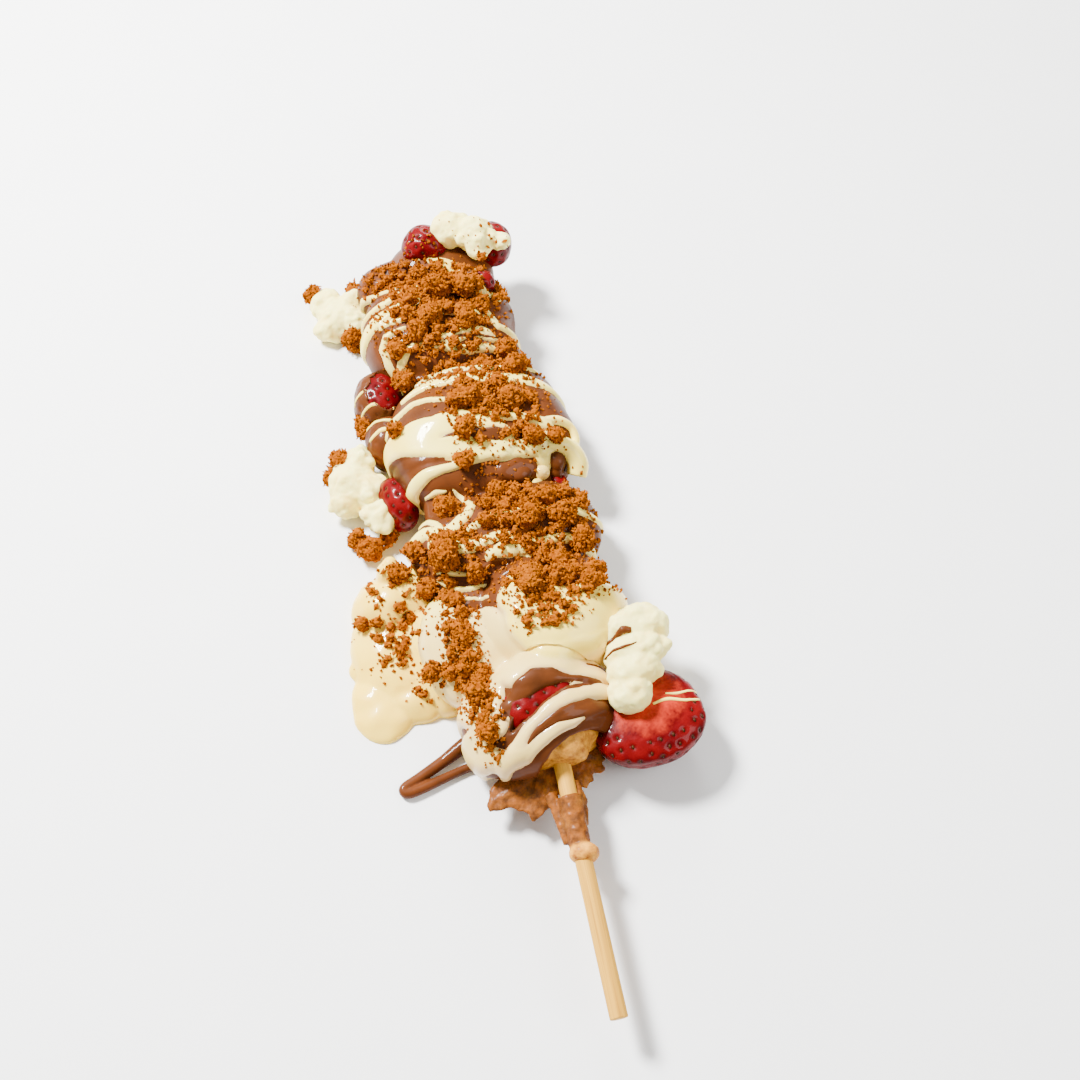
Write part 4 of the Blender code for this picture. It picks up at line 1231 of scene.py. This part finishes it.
def shaded_pour(pour):
    """Mark the pour where it is thick and yellow, where it is thin enough to show brown through, and over
    the near end, where the thin colour is partly painted shade.
    """
    places, _ = coordinates(pour.data)
    y = places[:, 1]
    flat = warped(places)
    _, front = poured(flat)
    thickest = max(POURS, key=lambda stroke: stroke[1])
    spoonful = eased(stroke_depth(flat, thickest[2]), -0.3, 1.2)
    near = eased(-y, -THIN_AND_SHADED_END[1], -THIN_AND_SHADED_END[0])
    rim = 1.0 - eased(front, -0.3, 1.3)
    hanging = eased(places[:, 0], LOOP_LEFT - 2.0, LOOP_LEFT + 2.0)
    hanging *= eased(y, LOOP_NEAR - 1.0, LOOP_NEAR + 1.0) * eased(-y, -LOOP_FAR - 1.0, 1.0 - LOOP_FAR)
    # thin: stroke edges, where brown shows through, and the near end outside the thickest pour, where the
    # darker colour is partly painted shade.
    store(pour, "thick", spoonful * 0.55)
    store(pour, "thin", np.clip(rim * 0.5 * (1.0 - hanging) + near * (1.0 - spoonful) * 0.65, 0.0, 1.0))


# ---------------------------------------------------------------- fruit


def seed_places(verts, draw):
    """Where seeds sit and the skin's normal at each: some vertices, spread evenly."""
    spacing = millimetres("seed_spacing")
    order = list(verts)
    draw.shuffle(order)
    kept = []
    for vert in order:
        if all((vert.co - other.co).length_squared > spacing * spacing for other in kept):
            kept.append(vert)
    return [(vert.co.copy(), vert.normal.copy()) for vert in kept]


def add_seed(bm, point, normal, tip, draw):
    """Add one seed: a flat teardrop that points to the berry's tip."""
    along = (tip - normal * tip.dot(normal)).normalized()
    side = normal.cross(along)
    seed = bmesh.ops.create_icosphere(bm, subdivisions=1, radius=1.0)["verts"]
    size = draw.uniform(0.85, 1.15)
    turn = Matrix((side, along, normal)).transposed().to_4x4()
    shape = Matrix.Diagonal((0.45 * size, 0.72 * size, 0.28 * size, 1.0))
    bmesh.ops.transform(bm, matrix=Matrix.Translation(point) @ turn @ shape, verts=seed)


def make_berry(node):
    """A strawberry without its leaves: pitted skin with a seed in each pit."""
    centre, half, turn, seed, lean = BERRIES[node]
    draw = random.Random(seed)
    bm = bmesh.new()
    verts = add_rounded(bm, centre, half, 2.15, turn, lean, detail=5)
    roughened(bm, verts, 9.0, 0.9, seed)
    bm.normal_update()
    seats = seed_places(bm.verts, draw)
    pit = pitted(bm, bm.verts, seats)
    skin = linked(node + "_skin", bm)
    # The pit attribute marks where the seed pits get painted shade.
    store(skin, "pit", pit)
    dressed(skin, [node], strawberry_skin)
    add_seeds(node, seats, Vector((math.sin(math.radians(turn)), -math.cos(math.radians(turn)), -0.2)), draw)


def pitted(bm, verts, seats):
    """Dent the skin at each seed, and give each vertex how deep in a pit it is."""
    near = KDTree(len(seats))
    for index, (point, _) in enumerate(seats):
        near.insert(point, index)
    near.balance()
    depths = []
    for vert in bm.verts:
        _, _, away = near.find(vert.co)
        depths.append(math.exp(-((away / 0.85) ** 2)))
    chosen = set(verts)
    for vert, depth in zip(bm.verts, depths):
        if vert in chosen:
            vert.co -= vert.normal * (depth * 0.5 - 0.12)
    return depths


def add_seeds(node, seats, tip, draw):
    """The seeds of one berry, as one mesh."""
    bm = bmesh.new()
    for point, normal in seats:
        add_seed(bm, point - normal * 0.28, normal, tip, draw)
    return dressed(linked(node + "_seeds", bm), [node], strawberry_seed)


def face_reach(place):
    """How far out from the middle of the cut side a place is: 0 there, past 1 under the berry."""
    centre, half, _, _ = CUT_BERRY
    away = Vector(place) - Vector(centre)
    flat = math.hypot((away.x + 0.5) / half[0], (away.y - 3.0) / half[1])
    return flat if away.dot(Vector(CUT_TILT).normalized()) > -0.3 else max(flat, 1.0)


def make_cut_berry():
    """The large strawberry half, its cut face up."""
    centre, half, turn, seed = CUT_BERRY
    middle = Vector(centre)
    draw = random.Random(seed)
    bm = bmesh.new()
    verts = add_rounded(bm, middle, half, 2.1, turn, detail=6)
    for vert in verts:
        across = (vert.co.x - middle.x) / half[0]
        vert.co.y -= 2.2 * across * across
    roughened(bm, verts, 11.0, 0.8, seed)
    bm.normal_update()
    tilt = Vector(CUT_TILT).normalized()
    for vert in verts:
        height = (vert.co - middle).dot(tilt)
        if height > 0.0:
            vert.co -= tilt * height * CUT_SQUASH
    bmesh.ops.smooth_vert(bm, verts=verts, factor=0.5, use_axis_x=True, use_axis_y=True, use_axis_z=True)
    bm.normal_update()
    outside = [vert for vert in bm.verts if face_reach(vert.co) > CUT_FACE]
    seats = seed_places([vert for vert in outside if face_reach(vert.co) > CUT_FACE + 0.07], draw)
    pit = pitted(bm, outside, seats)
    # The pit attribute marks where the seed pits get painted shade.
    layer = bm.verts.layers.float.new("pit")
    for vert, depth in zip(bm.verts, pit):
        vert[layer] = depth
    berry = flat_on_table(linked("strawberry_half_skin", bm))
    places, _ = coordinates(berry.data)
    reach = np.array([face_reach(place) for place in places])
    across = places[:, :2] - np.array((centre[0] + 1.0, centre[1] + 5.0))
    angle = np.arctan2(across[:, 1], across[:, 0])
    out = np.linalg.norm(across, axis=1)
    rays = np.stack([np.cos(angle) * 5.0, np.sin(angle) * 5.0, out * 0.12], axis=1)
    streaks = noise_field(rays, 1.0, 41) + 0.6 * noise_field(rays, 0.4, 43)
    flesh = 1.0 - eased(reach + noise_field(places, 5.0, 42) * 0.08, CUT_FACE - 0.1, CUT_FACE + 0.02)
    store(berry, "flesh", flesh)
    fibre = 1.35 - reach * 1.6 + streaks * 0.35 + noise_field(places, 0.5, 44) * 0.25
    store(berry, "fibre", np.clip(fibre, 0.0, 1.0))
    dressed(berry, ["strawberry_half"], strawberry_skin)
    add_seeds("strawberry_half", seats, Vector((0.0, -1.0, -0.2)), draw)


def coat_over(node):
    """A skin of milk chocolate over a berry, all but the side that faces one way."""
    bare_side, threshold = COATS[node]
    bm = bmesh.new()
    bm.from_mesh(bpy.data.objects[node + "_skin"].data)
    bm.transform(FROM_FRAME)
    bm.normal_update()
    middle = Vector(BERRIES[node][0])
    towards = Vector(bare_side).normalized()
    for vert in bm.verts:
        vert.co += vert.normal * (0.55 + 0.2 * noise.noise(vert.co / 3.0))
    bare = []
    for face in bm.faces:
        away = face.calc_center_median() - middle
        if away.normalized().dot(towards) + 0.25 * noise.noise(away / 3.5) > threshold:
            bare.append(face)
    bmesh.ops.delete(bm, geom=bare, context="FACES")
    coat = walled(linked(node + "_coat", bm), 0.7, -1.0)
    return dressed(coat, [node], milk_chocolate)


def make_drizzles():
    """The thin lines of chocolate that run over fruit and cream."""
    for index, (under, kind, points) in enumerate(DRIZZLES):
        tree = skin_of(under)
        bm = bmesh.new()
        run = []
        for point, radius in smooth_points([((x, y, 0.0), radius) for x, y, radius in points]):
            place, normal = drop_onto(tree, point.x, point.y)
            if normal is not None:
                run.append((place - normal * radius * 0.35, radius))
        add_run(bm, run, 10)
        node = under.rsplit("_", 1)[0]
        dressed(linked("drizzle_%d" % index, bm), [node], CHOCOLATES[kind])


# ---------------------------------------------------------------- cream, sauce and drip


def make_cream(node, seed):
    """A spoonful of whipped cream: soft lumps run together, with smaller curds all over."""
    draw = random.Random(seed)
    bm = bmesh.new()
    for index, (centre, half) in enumerate(CREAMS[node]):
        verts = add_rounded(bm, centre, half)
        roughened(bm, verts, 3.6, 1.0, seed + index)
        for _ in range(CURDS[node]):
            angle = draw.uniform(0.0, 2.0 * math.pi)
            rise = draw.uniform(-0.1, 1.0)
            level = math.sqrt(max(0.0, 1.0 - rise * rise))
            across = math.cos(angle) * level * half[0]
            along = math.sin(angle) * level * half[1]
            spot = Vector((across, along, rise * half[2]))
            size = draw.uniform(1.2, 2.8)
            add_rounded(bm, Vector(centre) + spot * 0.84, (size, size * 0.9, size * 0.85), detail=3)
    cream = merged(linked(node + "_curds", bm), 0.48, 3)
    places, normals = coordinates(cream.data)
    folds = 1.0 - 3.0 * np.abs(noise_field(places, 4.2, seed))
    grain = np.clip(folds, -0.6, 1.0) * -0.3 + noise_field(places, 1.5, seed + 1) * 0.22
    moved(cream, places + normals * grain[:, None])
    return dressed(flat_on_table(cream), [node], whipped_cream)


def make_pool():
    """The pool of white sauce on the table, with a peak of melting cream at its head."""
    bm = bmesh.new()
    for index, (centre, half) in enumerate(POOL):
        roughened(bm, add_rounded(bm, centre, half), 5.0, 0.8, 71 + index)
    pool = flat_on_table(merged(linked("white_sauce_pool", bm), 0.6, 6))
    places, _ = coordinates(pool.data)
    store(pool, "thick", np.clip(0.95 + noise_field(places, 9.0, 75) * 0.3, 0.0, 1.0))
    return dressed(pool, ["white_chocolate_pool"], white_chocolate)


def make_milk_drops():
    """Thick drops of milk chocolate by the white run and under the crumbs."""
    bm = bmesh.new()
    for centre, half in MILK_DROPS:
        add_rounded(bm, centre, half)
    drops = merged(linked("milk_chocolate_drops", bm), 0.4, 2)
    return dressed(drops, ["chocolate_coat"], milk_chocolate)


def make_drip():
    """The folded run of milk chocolate on the table."""
    bm = bmesh.new()
    add_run(bm, smooth_points(DRIP_RUN))
    drip = flat_on_table(merged(linked("milk_chocolate_drip", bm), 0.3, 4))
    return dressed(drip, ["chocolate_drip"], milk_chocolate)


# ---------------------------------------------------------------- crumbs


def in_oval(oval, angle, reach):
    """The point of a turned oval in plan at an angle, so far out from its middle: 1 is its rim."""
    centre_x, centre_y, half_x, half_y, turn = oval
    across = half_x * reach * math.cos(angle)
    along = half_y * reach * math.sin(angle)
    lean = math.radians(turn)
    return (
        centre_x + across * math.cos(lean) - along * math.sin(lean),
        centre_y + across * math.sin(lean) + along * math.cos(lean),
    )


def fallen(draw, spread_out=1.15):
    """A random place in plan where a crumb falls."""
    pick = draw.random()
    for *oval, share in CRUMB_FALL:
        if pick < share:
            angle = draw.uniform(0.0, 2.0 * math.pi)
            return in_oval(oval, angle, draw.random() ** 0.6 * spread_out)
        pick -= share
    return draw.uniform(-40.0, 24.0), draw.uniform(5.0, 200.0)


def is_clear(x, y):
    """Whether a place in plan is one where no small crumbs lie."""
    return any(math.hypot(x - centre_x, y - centre_y) < radius for centre_x, centre_y, radius in CLEARINGS)


def is_apart(x, y, radius, placed, nearness):
    """Whether a lump overlaps the placed ones only a little: at a nearness of 1, not at all."""
    return all(math.hypot(x - a, y - b) > (radius + other) * nearness for a, b, other in placed)


def crumb_places():
    """Where the lumps lie in plan, as (x, y, radius): the single ones, then each heap's."""
    draw = random.Random(CRUMB_SEED)
    placed = list(CRUMB_LUMPS)
    for *oval, count in CRUMB_HEAPS:
        wanted = len(placed) + count
        for _ in range(CRUMB_TRIES):
            if len(placed) == wanted:
                break
            angle = draw.uniform(0.0, 2.0 * math.pi)
            x, y = in_oval(oval, angle, math.sqrt(draw.random()))
            radius = draw.uniform(*CRUMB_RADII)
            if is_apart(x, y, radius, placed, 0.95) and not is_clear(x, y):
                placed.append((x, y, radius))
    return placed


def small_clumps(lumps, count, draw):
    """Smaller clumps between the lumps, as (x, y, radius)."""
    placed = list(lumps)
    for _ in range(count):
        x, y = fallen(draw)
        radius = 0.85 + 1.35 * draw.random() ** 1.8
        if not is_clear(x, y) and is_apart(x, y, radius, placed, 0.84):
            placed.append((x, y, radius))
    return placed[len(lumps):]


def lumps_on(tree, places):
    """The centre and radius of each lump that is dropped at x, y and sinks in a little."""
    spots = []
    for x, y, radius in places:
        point, normal = drop_onto(tree, x, y)
        if normal is not None:
            spots.append((point + normal * radius * 0.45, radius))
    return spots


def crumbled(name, spots, voxel, seed):
    """Lumps of biscuit as one skin: grains stuck together, with painted shade in the sunken gaps between
    them and painted light on their tops.
    """
    draw = random.Random(seed)
    bm = bmesh.new()
    for centre, radius in spots:
        half = [radius * draw.uniform(0.8, 1.1) for _ in range(3)]
        turn = draw.uniform(0.0, 180.0)
        verts = add_rounded(bm, centre, half, 2.3, turn, draw.uniform(-25.0, 25.0), detail=2)
        roughened(bm, verts, radius * 0.9, radius * 0.6, draw.randrange(90))
    crumbs = merged(linked(name, bm), voxel, 0)
    places, normals = coordinates(crumbs.data)
    crease, own = grains(places, millimetres("grain_size"), seed)
    fine = noise_field(places, 0.6, seed + 1)
    moved(crumbs, places + normals * (crease * 0.75 + own * 0.5 + fine * 0.15 - 0.55)[:, None])
    # The crease term paints shade into the gaps between grains and light onto their tops; own and fine give
    # each grain its own tone.
    store(crumbs, "shade", np.clip(crease * 0.75 + own * 0.35 + fine * 0.25, 0.0, 1.0))
    return crumbs


def grains(places, size, seed):
    """How far each place is from the gaps between grains, and its grain's own number, both 0 to 1."""
    shift = Vector((seed * 3.7, seed * 1.9, seed * 2.3))
    warp = np.stack([noise_field(places, size * 1.4, seed + part) for part in (5, 6, 7)], axis=1)
    bent = (places + warp * size * 0.55) / size
    found = [noise.voronoi(Vector(place) + shift) for place in bent]
    crease = np.array([min(1.0, (aways[1] - aways[0]) * 2.2) for aways, _ in found])
    # Any large unlike numbers turn the middle of a grain into a tone of its own.
    own = np.array([math.sin(points[0].dot(Vector((12.9, 78.2, 37.7)))) for _, points in found])
    return np.sqrt(crease), 0.5 + 0.5 * own


def small_shapes(count, rows, radius, shape, draw):
    """A few meshes of about unit size, each a ball of few faces that a function has shaped."""
    meshes = []
    for _ in range(count):
        bm = bmesh.new()
        ball = bmesh.ops.create_uvsphere(bm, u_segments=4, v_segments=rows, radius=radius)
        shape(ball["verts"], draw)
        mesh = bpy.data.meshes.new("small_shape")
        bm.to_mesh(mesh)
        bm.free()
        meshes.append(mesh)
    return meshes


def flaky(verts, draw):
    """Shape a ball into a flaky grain."""
    stretch = Vector((draw.uniform(0.8, 1.1), draw.uniform(1.0, 1.7), draw.uniform(0.6, 0.95)))
    for vert in verts:
        vert.co = vert.co * stretch * draw.uniform(0.75, 1.2)


def curled(verts, draw):
    """Shape a ball into a curled flake."""
    bend = draw.uniform(0.5, 1.4)
    for vert in verts:
        along = vert.co.z * draw.uniform(1.5, 1.9)
        vert.co = Vector((vert.co.x * 0.75, along, vert.co.y * 0.5 + bend * along * along))


def strewn(name, shapes, spots, draw):
    """One mesh of many small shapes. Each spot is a point, a size, and a shade from 0 to 1."""
    bm = bmesh.new()
    for point, size, _ in spots:
        mesh = shapes[draw.randrange(len(shapes))].copy()
        upward = Vector((draw.gauss(0, 1), draw.gauss(0, 1), draw.gauss(0, 1)))
        turn = upward.to_track_quat("Z", "Y").to_matrix().to_4x4()
        mesh.transform(Matrix.Translation(point) @ turn @ Matrix.Scale(size, 4))
        bm.from_mesh(mesh)
        bpy.data.meshes.remove(mesh)
    crumbs = linked(name, bm)
    store(crumbs, "shade", np.repeat([shade for _, _, shade in spots], len(shapes[0].vertices)))
    return crumbs


def loose_spots(tree, count, kind, scale, draw):
    """Where loose crumbs of a kind lie, each with its size and shade."""
    spread_out, kept, lift, sizes, shades = kind
    spots = []
    for _ in range(count):
        x, y = fallen(draw, spread_out)
        point, normal = drop_onto(tree, x, y)
        if normal is not None and (not is_clear(x, y) or draw.random() < kept):
            spots.append((point + normal * lift, scale * draw.uniform(*sizes), draw.uniform(*shades)))
    return spots


def stuck_on(objects, share, draw):
    """Places on the skins of lumps for flakes to stick to, each with a size and a shade."""
    spots = []
    for obj in objects:
        places, normals = coordinates(obj.data)
        for index in draw.sample(range(len(places)), int(len(places) * share)):
            if normals[index][2] > -0.2:
                point = Vector(places[index]) + Vector(normals[index]) * 0.2
                spots.append((point, draw.uniform(0.65, 1.35), draw.uniform(0.6, 1.0)))
    return spots


def make_crumbs():
    """Biscuit crumbs of every size: lumps, small clumps, single bits and dust."""
    sizes = bpy.context.scene.waffle_stick_sizes
    draw = random.Random(CRUMB_SEED + 1)
    under = skin_of(*UNDER_CRUMBS)
    places = crumb_places()
    side = [(Vector(centre), radius) for centre, radius in SIDE_LUMPS]
    lumps = crumbled("crumb_lumps", lumps_on(under, places) + side, 0.38, 51)
    small = lumps_on(under, small_clumps(places, sizes.clump_count, draw))
    clumps = crumbled("crumb_clumps", small, 0.37, 61)
    bits = small_shapes(16, 2, 0.55, flaky, draw)
    spots = loose_spots(under, sizes.bit_count, LOOSE_BITS, millimetres("grain_size"), draw)
    loose = strewn("crumb_bits", bits, spots, draw)
    specks = strewn("crumb_dust", bits, loose_spots(under, sizes.dust_count, DUST, 1.0, draw), draw)
    flakes = small_shapes(12, 4, 0.5, curled, draw)
    curls = strewn("crumb_curls", flakes, stuck_on((lumps, clumps), sizes.curl_share, draw), draw)
    for mesh in bits + flakes:
        bpy.data.meshes.remove(mesh)
    for piece in (lumps, clumps, curls, loose, specks):
        smooth = piece in (lumps, clumps)
        dressed(piece, ["chocolate_coat"], caramel_biscuit_crumb, smooth)


# ---------------------------------------------------------------- stage


# The camera: place, degrees right of straight along the waffle, degrees down, focal length.
CAMERA_PLACE = (-28.8, -108.9, 336.3)
CAMERA_HEADING = 11.68
CAMERA_DOWN = 60.0
CAMERA_LENS = 38.33


def make_stage():
    """A plain pale floor, soft lights and the camera."""
    bm = bmesh.new()
    bmesh.ops.create_grid(bm, x_segments=1, y_segments=1, size=4.0)
    floor = linked("floor", bm)
    floor.data.materials.append(finish(plain_floor))
    world = bpy.context.scene.world or bpy.data.worlds.new("surround")
    bpy.context.scene.world = world
    world.use_nodes = True
    background = world.node_tree.nodes["Background"]
    background.inputs["Color"].default_value = (1.0, 0.985, 0.965, 1.0)
    background.inputs["Strength"].default_value = 0.6
    add_light("key", (-0.4, 0.42, 0.75), 0.2, 50.0)
    add_light("fill", (0.6, -0.3, 0.7), 0.5, 6.0)
    add_light("back", (0.15, 0.9, 0.5), 0.3, 7.0)
    heading = math.radians(CAMERA_HEADING)
    down = math.radians(CAMERA_DOWN)
    look = Vector((math.sin(heading) * math.cos(down), math.cos(heading) * math.cos(down), -math.sin(down)))
    data = bpy.data.cameras.new("camera")
    data.lens = CAMERA_LENS
    data.sensor_width = 36.0
    data.clip_start = 0.01
    camera = bpy.data.objects.new("camera", data)
    camera.location = TO_FRAME @ Vector(CAMERA_PLACE)
    camera.rotation_euler = look.to_track_quat("-Z", "Y").to_euler()
    bpy.context.scene.collection.objects.link(camera)
    bpy.context.scene.camera = camera


def add_light(name, place, size, power):
    """A square soft light aimed at the food."""
    data = bpy.data.lights.new(name, "AREA")
    data.size = size
    data.energy = power
    light = bpy.data.objects.new(name, data)
    light.location = place
    light.rotation_euler = (-Vector(place)).to_track_quat("-Z", "Y").to_euler()
    bpy.context.scene.collection.objects.link(light)


# ---------------------------------------------------------------- operators and panel


class WAFFLE_OT_stick(Operator):
    """Make the wooden stick"""

    bl_idname = "waffle_stick.stick"
    bl_label = "Wooden stick"

    def execute(self, context):
        make_stick()
        return {"FINISHED"}


class WAFFLE_OT_waffle(Operator):
    """Make the waffle and the batter that overflowed round the stick"""

    bl_idname = "waffle_stick.waffle"
    bl_label = "Waffle"

    def execute(self, context):
        make_waffle()
        make_overflow()
        return {"FINISHED"}


class WAFFLE_OT_chocolates(Operator):
    """Make the milk chocolate glaze and the white chocolate over it"""

    bl_idname = "waffle_stick.chocolates"
    bl_label = "Chocolates"

    def execute(self, context):
        make_chocolates()
        make_milk_drops()
        make_drip()
        return {"FINISHED"}


class WAFFLE_OT_fruit(Operator):
    """Make the strawberries"""

    bl_idname = "waffle_stick.fruit"
    bl_label = "Strawberries"

    def execute(self, context):
        for node in BERRIES:
            make_berry(node)
        make_cut_berry()
        for node in COATS:
            coat_over(node)
        return {"FINISHED"}


class WAFFLE_OT_cream(Operator):
    """Make the spoonfuls of cream and the pool of sauce"""

    bl_idname = "waffle_stick.cream"
    bl_label = "Cream and sauce"

    def execute(self, context):
        for index, node in enumerate(CREAMS):
            make_cream(node, 31 + 10 * index)
        make_pool()
        make_drizzles()
        return {"FINISHED"}


class WAFFLE_OT_crumbs(Operator):
    """Strew the biscuit crumbs"""

    bl_idname = "waffle_stick.crumbs"
    bl_label = "Biscuit crumbs"

    def execute(self, context):
        make_crumbs()
        return {"FINISHED"}


class WAFFLE_OT_stage(Operator):
    """Set the floor, lights and camera"""

    bl_idname = "waffle_stick.stage"
    bl_label = "Stage"

    def execute(self, context):
        make_stage()
        return {"FINISHED"}


class WAFFLE_PT_panel(Panel):
    """Lists the waffle stick's sizes, colours and pieces"""

    bl_idname = "WAFFLE_PT_panel"
    bl_label = "Waffle Stick"
    bl_space_type = "VIEW_3D"
    bl_region_type = "UI"
    bl_category = "Waffle Stick"

    def draw(self, context):
        for group in (context.scene.waffle_stick_sizes, context.scene.waffle_stick_colours):
            for name in group.__annotations__:
                self.layout.prop(group, name)
        for operator in PIECES:
            self.layout.operator(operator.bl_idname)


PIECES = (
    WAFFLE_OT_stick, WAFFLE_OT_waffle, WAFFLE_OT_chocolates, WAFFLE_OT_fruit, WAFFLE_OT_cream,
    WAFFLE_OT_crumbs, WAFFLE_OT_stage,
)
CLASSES = (WaffleStickSizes, WaffleStickColours, *PIECES, WAFFLE_PT_panel)


def register():
    """Register the settings, operators and panel."""
    for cls in CLASSES:
        bpy.utils.register_class(cls)
    bpy.types.Scene.waffle_stick_sizes = PointerProperty(type=WaffleStickSizes)
    bpy.types.Scene.waffle_stick_colours = PointerProperty(type=WaffleStickColours)


def unregister():
    """Remove what register added."""
    del bpy.types.Scene.waffle_stick_colours
    del bpy.types.Scene.waffle_stick_sizes
    for cls in reversed(CLASSES):
        bpy.utils.unregister_class(cls)


def main():
    """Make every piece."""
    register()
    bpy.ops.waffle_stick.stick()
    bpy.ops.waffle_stick.waffle()
    bpy.ops.waffle_stick.chocolates()
    bpy.ops.waffle_stick.fruit()
    bpy.ops.waffle_stick.cream()
    bpy.ops.waffle_stick.crumbs()
    bpy.ops.waffle_stick.stage()


if __name__ == "__main__":
    main()
